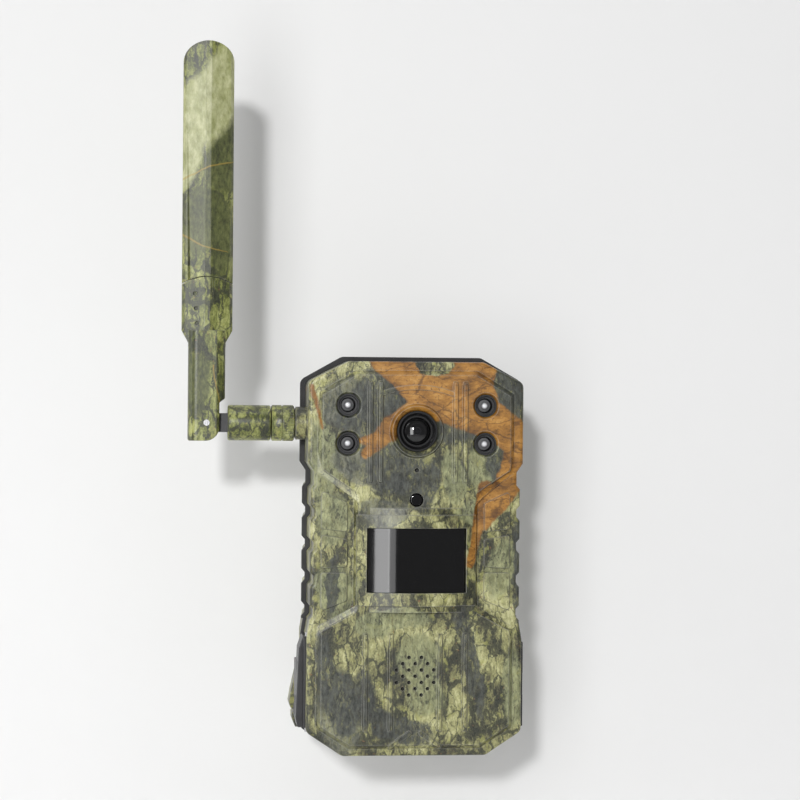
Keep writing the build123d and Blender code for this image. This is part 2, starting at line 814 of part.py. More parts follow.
def power_slider():
    """The switch's thumb piece, whose foot runs behind the panel."""
    z, front = controls_z(), panel_front_y
    x = switch_x - switch_travel / 2
    thumb = block(x - 1.6, x + 1.6, front - 0.4, front + panel_thickness + 0.4, z - 1.3, z + 1.3)
    for n in (-1, 0, 1):
        thumb = thumb - block(x + n - 0.2, x + n + 0.2, front + panel_thickness + 0.1, front + panel_thickness + 1, z - 2, z + 2)
    return thumb + block(x - 2.6, x + 2.6, front - 1.2, front - 0.2, z - 2.4, z + 2.4)


def push_button(x):
    z, back = controls_z(), panel_front_y + panel_thickness
    cap = rod_y(x, z, button_radius, back + button_proud, panel_front_y - 0.6)
    cap = fillet(ends_at(cap, back + button_proud), 0.4)
    return cap + rod_y(x, z, button_radius + 0.9, panel_front_y - 0.2, panel_front_y - 1.2)


def panel_screws():
    head_y = panel_front_y + 0.7
    return [screw(x, z, head_y, head_y - 8.0) for x, z in post_spots()]


# Electronics and optics


def main_board():
    back = board_y + board_thickness
    board = block(-board_half_width, board_half_width, board_y, back, board_base_z, body_height - board_top_drop)
    for x, z in post_spots():
        board = board - rod_y(x, z, post_radius + 0.5, board_y - 1, back + 1)
    low, high = charge_port_z - 6, power_port_z + 5
    board = board - block(port_inner_x(), board_half_width + 1, board_y - 1, back + 1, low, high)
    edge = -board_half_width - 1
    return board - block(edge, edge + 7, board_y - 1, back + 1, antenna_z - 8, antenna_z + 8)


def board_components():
    """The chips behind the board, the slide switch and the two push switches."""
    back, z = board_y + board_thickness, controls_z()
    switch = block(switch_x - 4.6, switch_x + 4.6, back, panel_front_y - 1.4, z - 2.2, z + 2.2)
    parts = [switch]
    for x in button_x:
        base = block(x - 2.6, x + 2.6, back, back + 2.4, z - 2.6, z + 2.6)
        parts.append(base + rod_y(x, z, 1.2, back + 2.4, panel_front_y - 1.2 - button_travel - 0.1))
    chips = [(0.0, 30.0, 7.0), (-18.0, 32.0, 4.5), (14.0, 52.0, 5.0), (-12.0, 54.0, 3.5)]
    parts += [block(x - half, x + half, back, back + 1.1, z - half, z + half) for x, z, half in chips]
    parts.append(rod_y(-24.0, 50.0, 4.0, back, back + 3.0))
    return parts


def modem_module():
    x0 = pir_half_width + 0.9
    return block(x0, board_half_width - 1.2, board_y - 2.4, board_y, pir_z - 14, pir_z + 14)


def coax_lead():
    """The lead from the aerial socket round to the modem."""
    start_x = -half_width + wall + 1.6
    left = -board_half_width + 0.2
    right = (pir_half_width + board_half_width) / 2
    y, z = board_y - 2.0, mic_z - 3.0
    path = FilletPolyline(
        (start_x, antenna_y, antenna_z), (left, antenna_y, antenna_z), (left, y, antenna_z - 8), (left, y, z),
        (right, y, z), (right, y, pir_z + 14.1),
        radius=1.4,
    )
    return sweep(Plane(path @ 0, z_dir=path % 0) * Circle(0.55), path=path)


def lens_barrel():
    """A threaded barrel with the black front ring that shows in the lens hole."""
    ring = rod_y(0, lens_z, lens_hole_radius - fit, front_y - 0.9, front_y + 3.0)
    ring = ring - cone_y(0, lens_z, 6.6, 5.6, front_y - 0.9, front_y + 0.6)
    barrel = rod_y(0, lens_z, 6.4, front_y + 2.5, board_y - 2.4)
    return ring + barrel - rod_y(0, lens_z, 5.0, front_y - 2, board_y)


def front_element():
    """The domed outer lens."""
    radius, bowl, tip = 4.95, 8.0, front_y + 0.3
    sphere = Pos(0, tip + bowl, lens_z) * Sphere(bowl)
    return rod_y(0, lens_z, radius, tip - 1, tip + 3.6) & sphere


def lens_mount():
    body = block(-8.0, 8.0, board_y - 6.0, board_y, lens_z - 8.0, lens_z + 8.0)
    return body - rod_y(0, lens_z, 6.5, board_y - 7, board_y + 1)


def image_sensor():
    return block(-4.2, 4.2, board_y - 1.1, board_y, lens_z - 3.4, lens_z + 3.4)


def lamp_boards():
    """Two narrow boards behind the lamps, one each side of the lens."""
    low, high = min(led_z) - 6.0, max(led_z) + 6.0
    back = lamp_board_y + lamp_board_thickness
    return [block(x - 5.2, x + 5.2, lamp_board_y, back, low, high) for x in (-led_x, led_x)]


def ir_lamp(x, z):
    dome_y = front_y + cup_recess + led_radius + 0.4
    body = rod_y(x, z, led_radius, dome_y, lamp_board_y) + Pos(x, dome_y, z) * Sphere(led_radius)
    return body + rod_y(x, z, led_radius + 0.4, lamp_board_y - 1.0, lamp_board_y)


def lamp_cup(x, z):
    """The black cup that a lamp looks out of, with a flange behind the wall."""
    cup = rod_y(x, z, cup_radius - fit, front_y + 0.5, front_y + 6.4)
    cup = cup + rod_y(x, z, cup_radius + 0.7, front_y + wall + 1.0, front_y + wall + 1.8)
    cup = cup - cone_y(x, z, cup_radius - 0.5, led_radius + 0.9, front_y + 0.5, front_y + cup_recess)
    return cup - rod_y(x, z, led_radius + 0.2, front_y, front_y + 7)


def pir_window():
    """The curved dark window: a pane in the opening, with a flange that seats from behind."""
    pane = pir_column(pir_glass_radius, pir_half_width - fit, pir_half_height - fit)
    flange = pir_column(pir_flange_front_radius, pir_half_width + pir_flange, pir_half_height + pir_flange)
    hollow = pir_column(pir_glass_back_radius, pir_half_width + 4, pir_half_height + 4)
    return (pane + flange) - hollow


def pir_shroud():
    """A black box from the window back to the board, which keeps stray heat off the sensor."""
    half_width, half_height, side = pir_half_width - 0.6, pir_half_height - 0.6, 1.2
    outer = pir_column(pir_glass_back_radius - 0.05, half_width, half_height)
    outer = outer & block(-60, 60, front_y - 12, board_y, 0, body_height)
    inner_width, inner_height = half_width - side, half_height - side
    return outer - block(
        -inner_width, inner_width, front_y - 12, board_y + 1, pir_z - inner_height, pir_z + inner_height
    )


def pir_sensor():
    return rod_y(0, pir_z, 4.1, board_y - 4.2, board_y) + rod_y(0, pir_z, 4.6, board_y - 0.6, board_y)


def speaker():
    seat_y = front_y + wall + 0.6
    frame = rod_y(0, speaker_z, speaker_radius, seat_y, seat_y + 3.0)
    frame = frame - cone_y(0, speaker_z, speaker_radius - 1.0, 3.0, seat_y, seat_y + 1.8)
    return frame + rod_y(0, speaker_z, 6.0, seat_y + 2.5, seat_y + 4.6)


def speaker_mesh():
    return rod_y(0, speaker_z, speaker_radius - 0.4, front_y + wall + 0.05, front_y + wall + 0.5)


def microphone():
    return rod_y(0, mic_z, mic_radius, front_y + wall + 0.05, front_y + wall + 2.0)


def daylight_lens():
    tip_y = front_y + 0.8
    stem = rod_y(0, daylight_z, daylight_radius - fit, tip_y, front_y + wall + 0.3)
    stem = fillet(ends_at(stem, tip_y), 0.6)
    return stem + rod_y(0, daylight_z, daylight_radius + 0.8, front_y + wall + 0.05, front_y + wall + 1.6)


def port_inner_x():
    return board_half_width - 3.0


def port_shell(z, half_y, half_z):
    outer = cover_floor_x - plug_depth - 0.3
    shell = block(
        port_inner_x(), outer, port_y - half_y + fit, port_y + half_y - fit, z - half_z + fit, z + half_z - fit
    )
    return shell, outer


def charging_port():
    half_y, half_z = charge_port_half
    shell, outer = port_shell(charge_port_z, half_y, half_z)
    mouth_y, mouth_z, z = half_y - 0.6, half_z - 0.6, charge_port_z
    shell = shell - block(outer - 5, outer + 1, port_y - mouth_y, port_y + mouth_y, z - mouth_z, z + mouth_z)
    return shell + block(outer - 5.2, outer - 0.8, port_y - 0.3, port_y + 0.3, z - mouth_z + 0.8, z + mouth_z - 0.8)


def power_inlet():
    shell, outer = port_shell(power_port_z, *power_port_half)
    shell = shell - rod_x(port_y, power_port_z, 2.4, outer - 5, outer + 1)
    return shell + rod_x(port_y, power_port_z, 0.7, outer - 5.5, outer - 1)


# Covers and the latch


def port_cover():
    """The rubber cover over the ports, with a plug for each port on its inner face."""
    low, high = cover_base_z + cover_gap, cover_top_z - cover_gap
    plate = block(cover_floor_x + 0.2, cover_outer_x, cover_front_y + cover_gap, cover_hinge_y, low, high)
    rim = plate.edges().filter_by(lambda e: e.bounding_box().min.X > cover_outer_x - 0.01)
    plate = fillet(rim, 0.7)
    cover = plate + rod_z(cover_hinge_x, cover_hinge_y, cover_hinge_radius, low, high)
    for z, (half_y, half_z) in ports():
        across, up = half_y - plug_slack, half_z - plug_slack
        x0 = cover_floor_x - plug_depth
        cover = cover + block(x0, cover_floor_x + 0.5, port_y - across, port_y + across, z - up, z + up)
    # a lip at the front edge for a fingernail
    return cover - block(
        cover_outer_x - 0.6, cover_outer_x + 1, cover_front_y - 1, cover_front_y + 1.4, port_lip_low(), port_lip_high()
    )


def port_lip_low():
    return (cover_base_z + cover_top_z) / 2 - 4.0


def port_lip_high():
    return (cover_base_z + cover_top_z) / 2 + 4.0


def latch_lever():
    """The lever on the left side: a barrel on its pin, a finger plate, and the hook behind it."""
    low, high = latch_base_z + latch_gap, latch_top_z - latch_gap
    inner, side = latch_pin_x + 0.7, -lower_half_width
    outline = [
        (inner, low), (side - latch_lift + 0.8, low), (side - latch_lift, low + 3.5),
        (side - latch_lift + 1.0, high - 4.5), (side - 0.9, high), (inner, high),
    ]
    plate = prism(drawn(outline, 0.4), door_back_y - 0.2, latch_pin_y)
    back_rim = ends_at(plate, door_back_y - 0.2) + ends_at(plate, latch_pin_y)
    plate = chamfer(back_rim.filter_by(lambda e: e.center().X < side - 0.3), 0.35)
    barrel = rod_z(latch_pin_x, latch_pin_y, latch_barrel_radius, low, high)
    grooves = [
        block(side - latch_lift - 1, side - latch_lift + 0.5, y - 0.45, y + 0.45, low + 4, low + 11)
        for y in (door_back_y - 3.5, door_back_y - 5.7, door_back_y - 7.9)
    ]
    lever = plate + barrel + latch_hook() - joined(grooves)
    bore = latch_pin_radius + latch_bore_clearance
    return lever - rod_z(latch_pin_x, latch_pin_y, bore, low - 1, high + 1)


def latch_hook():
    """The strap that reaches back over the seal. Its tip just clears the crest of the catch."""
    inner = catch_x - hook_clearance - 0.7
    outer = inner - hook_thickness
    tip_y = catch_y + catch_width + hook_clearance
    strap = block(outer, inner, latch_pin_y + 5, tip_y + 1.2, hook_base_z, hook_top_z)
    return strap + block(outer, catch_x - hook_clearance, tip_y, tip_y + 1.2, hook_base_z, hook_top_z)


def latch_pin():
    return rod_z(latch_pin_x, latch_pin_y, latch_pin_radius, latch_base_z - 1.2, latch_top_z + 1.2)


def hinge_pin(z):
    return rod_z(hinge_x, hinge_y, hinge_pin_radius, z - hinge_reach(), z + hinge_reach())


# Antenna, with stations along its axis, which runs out to the left

jack_end_gap = 1.5
nut_start_x = boss_end_x - 0.3 - joint_gap
nut_end_x = nut_start_x - nut_length
sleeve_start_x = nut_end_x - joint_gap
sleeve_end_x = sleeve_start_x - sleeve_length
elbow_x = sleeve_end_x - elbow_reach


def sma_jack():
    """The threaded aerial socket, with its flange inside the case and turned thread lands."""
    side = -half_width + wall
    tip = nut_end_x + jack_end_gap
    tube = rod_x(antenna_y, antenna_z, jack_radius - 0.35, tip, side + 0.1)
    tube = tube + rod_x(antenna_y, antenna_z, jack_radius, boss_end_x, side + 0.1)
    for n in range(4):
        x = tip + 0.4 + n * 1.2
        tube = tube + rod_x(antenna_y, antenna_z, jack_radius, x, x + 0.6)
    tube = tube + rod_x(antenna_y, antenna_z, 5.0, side + 0.05, side + 1.6)
    return tube - rod_x(antenna_y, antenna_z, jack_bore_radius, tip - 1, side - 2)


def jack_seal():
    end = boss_end_x - 0.3
    ring = rod_x(antenna_y, antenna_z, boss_outer_radius - 0.9, end, end - joint_gap + 0.05)
    return ring - rod_x(antenna_y, antenna_z, jack_radius + 0.05, end + 1, end - 2)


def antenna_nut():
    nut = rod_x(antenna_y, antenna_z, nut_outer_radius, nut_end_x, nut_start_x)
    nut = chamfer(nut.edges().filter_by(GeomType.CIRCLE), 0.4)
    nut = nut - rod_x(antenna_y, antenna_z, jack_radius + 0.2, nut_end_x + 1.2, nut_start_x + 1)
    nut = nut - rod_x(antenna_y, antenna_z, core_radius + 0.2, nut_end_x - 1, nut_start_x)
    band_x = nut_start_x - 4.2
    band = rod_x(antenna_y, antenna_z, nut_outer_radius + 1, band_x - 0.25, band_x + 0.25)
    band = band - rod_x(antenna_y, antenna_z, nut_outer_radius - 0.35, band_x - 1, band_x + 1)
    groove = Pos(0, 0, nut_outer_radius) * Rot(45, 0, 0) * Box(3.4, 0.5, 0.5)
    spot = Pos(nut_start_x - 2.0, antenna_y, antenna_z)
    grooves = [spot * Rot(360 / nut_knurls * n, 0, 0) * groove for n in range(nut_knurls)]
    return nut - band - grooves


def antenna_sleeve():
    sleeve = rod_x(antenna_y, antenna_z, sleeve_radius, sleeve_end_x, sleeve_start_x)
    sleeve = fillet(sleeve.edges().filter_by(GeomType.CIRCLE), 0.6)
    return sleeve - rod_x(antenna_y, antenna_z, core_radius, sleeve_end_x - 1, sleeve_start_x + 1)


def antenna_core():
    """The swivel's core: a rod through the sleeve, and a tongue that carries the elbow pin."""
    rod = rod_x(antenna_y, antenna_z, core_radius, sleeve_end_x, nut_end_x + 5.0)
    y0, y1 = antenna_y - tongue_half_thickness, antenna_y + tongue_half_thickness
    z0, z1 = antenna_z - tongue_half_height, antenna_z + tongue_half_height
    tongue = block(elbow_x, sleeve_end_x, y0, y1, z0, z1) + rod_y(elbow_x, antenna_z, tongue_half_height, y0, y1)
    return rod + tongue - rod_y(elbow_x, antenna_z, elbow_pin_radius + 0.05, y0 - 1, y1 + 1)


def elbow_pin():
    reach = shank_half_thickness + 0.15
    return rod_y(elbow_x, antenna_z, elbow_pin_radius, antenna_y - reach, antenna_y + reach)


def seam_disc(gap):
    """A disc whose upper edge is the seam between the aerial's foot and its blade."""
    return rod_y(elbow_x, antenna_z + seam_height - seam_radius, seam_radius - gap, antenna_y - 20, antenna_y + 20)


def aerial_section(low, high):
    """The aerial's cross-section carried up: flat, thin at the edges, with a ridge down its middle."""
    w, t, e = blade_half_width, blade_half_thickness, blade_edge_half_thickness
    ridge = 1.0
    half = [(w, e - 1.0), (w - 0.9, e), (ridge, t), (-ridge, t), (-w + 0.9, e), (-w, e - 1.0)]
    face = Pos(elbow_x, antenna_y) * drawn(half + [(-x, -y) for x, y in half], 0.5)
    return Pos(0, 0, low) * extrude(face, amount=high - low)


def antenna_shank():
    """The aerial's foot: a forked shank on the elbow pin, widening to the blade's width."""
    z0, top = antenna_z - shank_drop, antenna_z + seam_height + 2
    x0, x1, w = elbow_x - shank_half_width, elbow_x + shank_half_width, blade_half_width
    neck_x = elbow_x + 4.6
    outline = [
        (x0, z0), (neck_x, z0), (neck_x, antenna_z + 7.2), (x1, antenna_z + 8.8), (x1, antenna_z + shoulder_base),
        (elbow_x + w, antenna_z + shoulder_top), (elbow_x + w, top), (elbow_x - w, top),
        (elbow_x - w, antenna_z + shoulder_top), (x0, antenna_z + shoulder_base),
    ]
    face = drawn(outline, [0.6, 5.0, 0.6, 0.6, 0.6, 1.5, 0.4, 0.4, 1.5, 0.6])
    plan = Rectangle(2 * shank_half_width, 2 * shank_half_thickness)
    plan = Pos(elbow_x, antenna_y) * fillet(plan.vertices(), 3.2)
    column = Pos(0, 0, z0 - 1) * extrude(plan, amount=antenna_z + shoulder_top - z0 + 1)
    upper = aerial_section(antenna_z + shoulder_base - 1.5, top)
    below = block(
        elbow_x - 20, elbow_x + 20, antenna_y - 20, antenna_y + 20, z0 - 2, antenna_z + seam_height - seam_radius
    )
    body = ((column + upper) & prism(face, antenna_y + 10, antenna_y - 10)) & (seam_disc(0) + below)
    body = body - fork_slot() - rod_y(elbow_x, antenna_z, elbow_pin_radius, antenna_y - 10, antenna_y + 10)
    for n in range(3):
        x, z = elbow_x - 4.4 + 0.35 * n, antenna_z + 46.2 - 5.3 * n
        body = body - rod_y(x, z, 0.75, antenna_y - 6, antenna_y - blade_half_thickness + 1.6)
    return body - block(elbow_x - 5.4, elbow_x + 5.4, antenna_y - 0.7, antenna_y + 0.7, antenna_z + 40, top + 1)


def fork_slot():
    """The slot for the core's tongue, open to the right and below so that the aerial can fold out."""
    half = tongue_half_thickness + tongue_clearance
    reach = tongue_half_height + 0.5
    y0, y1 = antenna_y - half, antenna_y + half
    slot = block(elbow_x, elbow_x + 12, y0, y1, antenna_z - 12, antenna_z + reach)
    slot = slot + block(elbow_x - reach, elbow_x, y0, y1, antenna_z - 12, antenna_z)
    return slot + rod_y(elbow_x, antenna_z, reach, y0, y1)


def antenna_blade():
    """The hollow upper blade with its round tip."""
    w = blade_half_width
    low, high = antenna_z + seam_height - 6, antenna_z + blade_height
    shoulder = high - blade_tip_height
    face = Pos(elbow_x, (low + shoulder) / 2) * Rectangle(2 * w, shoulder - low)
    face = face + Pos(elbow_x, shoulder) * Ellipse(w, blade_tip_height)
    body = aerial_section(low, high) & prism(face, antenna_y + 10, antenna_y - 10)
    body = body - seam_disc(-seam_gap)
    return body - block(elbow_x - 6.0, elbow_x + 6.0, antenna_y - 1.6, antenna_y + 1.6, low - 2, high - 9)


def antenna_element():
    """The printed strip inside the blade."""
    low, high = antenna_z + 41, antenna_z + blade_height - 10
    return block(elbow_x - 5.0, elbow_x + 5.0, antenna_y - 0.4, antenna_y + 0.4, low, high)


def write(name, shape):
    pieces = shape if isinstance(shape, list) else [shape]
    solids = [solid for piece in pieces for solid in piece.solids()]
    whole = solids[0] if len(solids) == 1 else Compound(children=solids)
    whole.label = name
    export_step(whole, f"parts/{name}.step")


def build():
    os.makedirs("parts", exist_ok=True)
    for make in (
        rear_housing, case_seal, tripod_insert, tree_pads, battery_tray, battery_contacts, tray_screws,
        contact_pads, front_housing, inner_panel, panel_screws, card_sockets, power_slider, main_board,
        board_components, modem_module, coax_lead, contact_pins, lens_barrel, front_element, lens_mount,
        image_sensor, lamp_boards, pir_window, pir_shroud, pir_sensor, daylight_lens, microphone, speaker,
        speaker_mesh, charging_port, power_inlet, port_cover, latch_lever, latch_pin, sma_jack, jack_seal,
        antenna_nut, antenna_sleeve, antenna_core, elbow_pin, antenna_shank, antenna_blade, antenna_element,
    ):
        write(make.__name__, make())
    for label, z in zip(("lower", "upper"), hinge_z):
        write(f"hinge_pin_{label}", hinge_pin(z))
    for n, (x, z) in enumerate(lamp_spots()):
        write(f"ir_lamp_{n + 1}", ir_lamp(x, z))
        write(f"lamp_cup_{n + 1}", lamp_cup(x, z))
    for bank, label in enumerate(("lower", "upper")):
        write(f"batteries_{label}", [battery_cell(n, bank) for n in range(cells_per_row)])
    write("test_button", push_button(button_x[0]))
    write("pair_button", push_button(button_x[1]))
    write("memory_card", data_card(0, 2.5))
    write("sim_card", data_card(1, 2.0))


build()
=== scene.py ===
import bmesh
import bpy
import json
import math
import numpy as np
from mathutils import Matrix, Vector


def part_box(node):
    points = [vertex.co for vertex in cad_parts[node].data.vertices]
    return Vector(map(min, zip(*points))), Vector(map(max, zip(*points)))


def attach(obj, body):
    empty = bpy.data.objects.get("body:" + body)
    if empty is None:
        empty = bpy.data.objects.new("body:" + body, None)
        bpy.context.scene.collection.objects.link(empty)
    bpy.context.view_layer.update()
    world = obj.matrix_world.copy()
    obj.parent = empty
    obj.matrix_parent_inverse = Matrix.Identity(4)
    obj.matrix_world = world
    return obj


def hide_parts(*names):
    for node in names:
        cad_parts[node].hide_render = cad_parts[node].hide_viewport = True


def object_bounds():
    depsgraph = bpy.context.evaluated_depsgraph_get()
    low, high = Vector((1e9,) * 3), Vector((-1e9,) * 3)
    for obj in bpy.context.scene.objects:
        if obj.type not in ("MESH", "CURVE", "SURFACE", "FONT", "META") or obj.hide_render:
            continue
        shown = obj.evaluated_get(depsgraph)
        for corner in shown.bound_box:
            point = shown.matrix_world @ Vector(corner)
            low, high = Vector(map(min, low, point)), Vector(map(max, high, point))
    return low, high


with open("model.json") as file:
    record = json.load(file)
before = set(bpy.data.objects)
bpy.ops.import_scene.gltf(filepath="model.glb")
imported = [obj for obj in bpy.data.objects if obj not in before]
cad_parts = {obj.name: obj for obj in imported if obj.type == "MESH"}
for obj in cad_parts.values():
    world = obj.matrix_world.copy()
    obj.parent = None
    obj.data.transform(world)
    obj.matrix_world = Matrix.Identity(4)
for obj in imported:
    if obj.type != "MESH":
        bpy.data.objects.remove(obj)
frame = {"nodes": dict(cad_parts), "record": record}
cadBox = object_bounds()
nodes = frame["nodes"]
print("frame loaded:", len(nodes), "parts")

mm = 0.001


# Shader helpers, used by every finish below


def newMaterial(name):
    material = bpy.data.materials.new(name)
    material.use_nodes = True
    tree = material.node_tree
    shader = tree.nodes["Principled BSDF"]
    return material, tree, shader


def feed(tree, socket, value):
    # a socket takes either another node's output or a plain value
    if isinstance(value, bpy.types.NodeSocket):
        tree.links.new(value, socket)
    elif isinstance(value, tuple) and len(value) == 3 and socket.type == "RGBA":
        socket.default_value = (*value, 1.0)
    else:
        socket.default_value = value


def place(tree):
    return tree.nodes.new("ShaderNodeTexCoord").outputs["Object"]


def maths(tree, operation, a, b=0.0, clamp=False):
    n = tree.nodes.new("ShaderNodeMath")
    n.operation, n.use_clamp = operation, clamp
    feed(tree, n.inputs[0], a)
    feed(tree, n.inputs[1], b)
    return n.outputs[0]


def vectorMaths(tree, operation, a, b=(0.0, 0.0, 0.0), scale=None):
    n = tree.nodes.new("ShaderNodeVectorMath")
    n.operation = operation
    feed(tree, n.inputs[0], a)
    if scale is None:
        feed(tree, n.inputs[1], b)
    else:
        feed(tree, n.inputs["Scale"], scale)
    return n.outputs["Value" if operation in ("LENGTH", "DOT_PRODUCT", "DISTANCE") else "Vector"]


def stretched(tree, vector, sizes):
    # sizes are the pattern's grain along X, Y and Z, in metres
    return vectorMaths(tree, "MULTIPLY", vector, tuple(1.0 / s for s in sizes))


def noise(tree, vector, detail, roughness, colour=False):
    n = tree.nodes.new("ShaderNodeTexNoise")
    n.inputs["Scale"].default_value = 1.0
    n.inputs["Detail"].default_value = detail
    n.inputs["Roughness"].default_value = roughness
    feed(tree, n.inputs["Vector"], vector)
    return n.outputs["Color" if colour else "Fac"]


def cracks(tree, vector, randomness=1.0):
    n = tree.nodes.new("ShaderNodeTexVoronoi")
    n.feature = "DISTANCE_TO_EDGE"
    n.inputs["Scale"].default_value = 1.0
    n.inputs["Randomness"].default_value = randomness
    feed(tree, n.inputs["Vector"], vector)
    return n.outputs["Distance"]


def remap(tree, value, low, high, newLow=0.0, newHigh=1.0):
    n = tree.nodes.new("ShaderNodeMapRange")
    n.clamp = True
    for socket, v in zip(n.inputs[:5], (value, low, high, newLow, newHigh)):
        feed(tree, socket, v)
    return n.outputs[0]


def ramp(tree, value, stops):
    n = tree.nodes.new("ShaderNodeValToRGB")
    band = n.color_ramp
    while len(band.elements) < len(stops):
        band.elements.new(0.5)
    for element, (position, colour) in zip(band.elements, stops):
        element.position = position
        element.color = (*colour, 1.0)
    feed(tree, n.inputs[0], value)
    return n.outputs["Color"]


def blend(tree, amount, a, b):
    n = tree.nodes.new("ShaderNodeMix")
    n.data_type = "RGBA"
    feed(tree, n.inputs["Factor"], amount)
    feed(tree, n.inputs["A"], a)
    feed(tree, n.inputs["B"], b)
    return n.outputs["Result"]


# how far the rounded normal leaves the true one, as a cosine, away from an edge and on it
edgeTurn = {"flat": 0.995, "sharp": 0.86}


def softEdge(tree, radius):
    # the normals rounded off near the edges, and how near an edge each point is; radius in millimetres
    soft = tree.nodes.new("ShaderNodeBevel")
    soft.samples = 4
    soft.inputs["Radius"].default_value = radius * mm
    sharp = tree.nodes.new("ShaderNodeNewGeometry").outputs["Normal"]
    turn = vectorMaths(tree, "DOT_PRODUCT", soft.outputs[0], sharp)
    return soft.outputs[0], remap(tree, turn, edgeTurn["flat"], edgeTurn["sharp"])


def bump(tree, shader, height, depth, strength, normal=None):
    n = tree.nodes.new("ShaderNodeBump")
    if normal is not None:
        tree.links.new(normal, n.inputs["Normal"])
    n.inputs["Strength"].default_value = strength
    n.inputs["Distance"].default_value = depth
    feed(tree, n.inputs["Height"], height)
    tree.links.new(n.outputs[0], shader.inputs["Normal"])


def largest(tree, values):
    result = values[0]
    for value in values[1:]:
        result = maths(tree, "MAXIMUM", result, value)
    return result


# The printed woodland pattern


def blob(tree, vector, spot, soft):
    # an ellipse seen from the front, 1 inside and 0 outside: its centre x and z and its half sizes are in
    # millimetres, its lean in degrees, and the softness of its border a share of its size
    x, z, halfWide, halfHigh, lean = spot
    moved = vectorMaths(tree, "SUBTRACT", vector, (x * mm, 0.0, z * mm))
    c, s = math.cos(math.radians(lean)), math.sin(math.radians(lean))
    across = vectorMaths(tree, "DOT_PRODUCT", moved, (c / (halfWide * mm), 0.0, s / (halfWide * mm)))
    along = vectorMaths(tree, "DOT_PRODUCT", moved, (-s / (halfHigh * mm), 0.0, c / (halfHigh * mm)))
    squares = maths(tree, "ADD", maths(tree, "POWER", across, 2.0), maths(tree, "POWER", along, 2.0))
    distance = maths(tree, "SQRT", squares)
    return remap(tree, distance, 1.0 + soft, 1.0 - soft)


def limb(tree, vector, run, edge=0.35):
    # a tapered branch from one point to the next, as a distance to a line less a half width; millimetres
    ax, az, bx, bz, wideA, wideB = (v * mm for v in run)
    reach = (bx - ax) ** 2 + (bz - az) ** 2
    moved = vectorMaths(tree, "SUBTRACT", vector, (ax, 0.0, az))
    flat = vectorMaths(tree, "MULTIPLY", moved, (1.0, 0.0, 1.0))
    share = vectorMaths(tree, "DOT_PRODUCT", flat, ((bx - ax) / reach, 0.0, (bz - az) / reach))
    share = maths(tree, "ADD", share, 0.0, clamp=True)
    nearest = vectorMaths(tree, "SCALE", (bx - ax, 0.0, bz - az), scale=share)
    distance = vectorMaths(tree, "DISTANCE", flat, nearest)
    width = remap(tree, share, 0.0, 1.0, wideA, wideB)
    return remap(tree, maths(tree, "SUBTRACT", distance, width), edge * mm, -edge * mm)


def wander(tree, vector, size, amount):
    # moves the pattern's points about, so that its borders are ragged; the swirls' size and the amount they
    # carry a point are in millimetres
    shift = noise(tree, stretched(tree, vector, (size * mm,) * 3), 5.0, 0.6, colour=True)
    shift = vectorMaths(tree, "SUBTRACT", shift, (0.5, 0.5, 0.5))
    return vectorMaths(tree, "ADD", vector, vectorMaths(tree, "SCALE", shift, scale=amount * mm))


barkLook = {
    "caseTones": [
        (0.06, (0.018, 0.018, 0.014)), (0.26, (0.068, 0.066, 0.038)), (0.46, (0.172, 0.168, 0.076)),
        (0.70, (0.325, 0.320, 0.142)), (0.94, (0.510, 0.500, 0.265)),
    ],
    "aerialTones": [
        (0.05, (0.026, 0.032, 0.013)), (0.30, (0.080, 0.092, 0.026)), (0.55, (0.190, 0.208, 0.056)),
        (0.95, (0.400, 0.420, 0.160)),
    ],
    # grain sizes along X, Y and Z in millimetres: everything is longest upwards
    "streak": (0.9, 0.9, 3.6),
    "plate": (3.6, 3.6, 9.5),
    "patch": (9.0, 9.0, 13.0),
    "speck": (0.5, 0.5, 0.8),
    "rust": (1.3, 1.3, 1.7),
    "lime": (3.4, 3.4, 4.5),
    "rustColour": (0.260, 0.120, 0.045),
    "limeColour": (0.400, 0.400, 0.120),
    "crackTones": [(0.3, (0.010, 0.012, 0.009)), (0.7, (0.048, 0.052, 0.034))],
}

caseSpots = {
    # x, z, half width, half height, lean in degrees
    "charcoal": [
        (-12.5, 131, 10.5, 9.5, 20), (-20, 119, 9, 7, -20), (33, 131, 7, 15, 18), (17, 119, 12, 5.5, 14),
        (31, 107, 5.5, 10, 8), (-8, 104, 12, 9, 25), (3, 97, 5, 10, -12), (-27, 20, 5.5, 13, 8),
        (-19, 22, 4.5, 11, 0), (-33, 33, 3.0, 12, 0), (-2, 9, 10, 5, -8), (-12, 12, 4, 6, 20),
        (20, 34, 3.2, 21, 12), (37.5, 66, 2.6, 20, 0), (-30, 62, 2.0, 12, -8), (10, 128, 4, 2, 0),
    ],
    "lichen": [
        (-33.5, 106, 5.0, 15, 4), (13, 101, 4.2, 9.5, 10), (24, 104, 6, 8, 0), (1, 35, 8, 9, 12),
        (-30, 86, 6, 9, 0), (-29, 60, 7, 10, 0), (31, 68, 5, 11, -6), (4, 22, 7, 7, 30),
        (-14, 48, 8, 5, 12), (36, 24, 4, 14, 0), (-6, 50, 12, 4, 0), (22, 88, 7, 5, 0),
    ],
    "grey": [
        (-26, 127, 9, 9, 0), (-22, 104, 9, 6, -30), (-28, 14, 7, 14, 12), (-12, 88, 9, 5, 0),
    ],
}

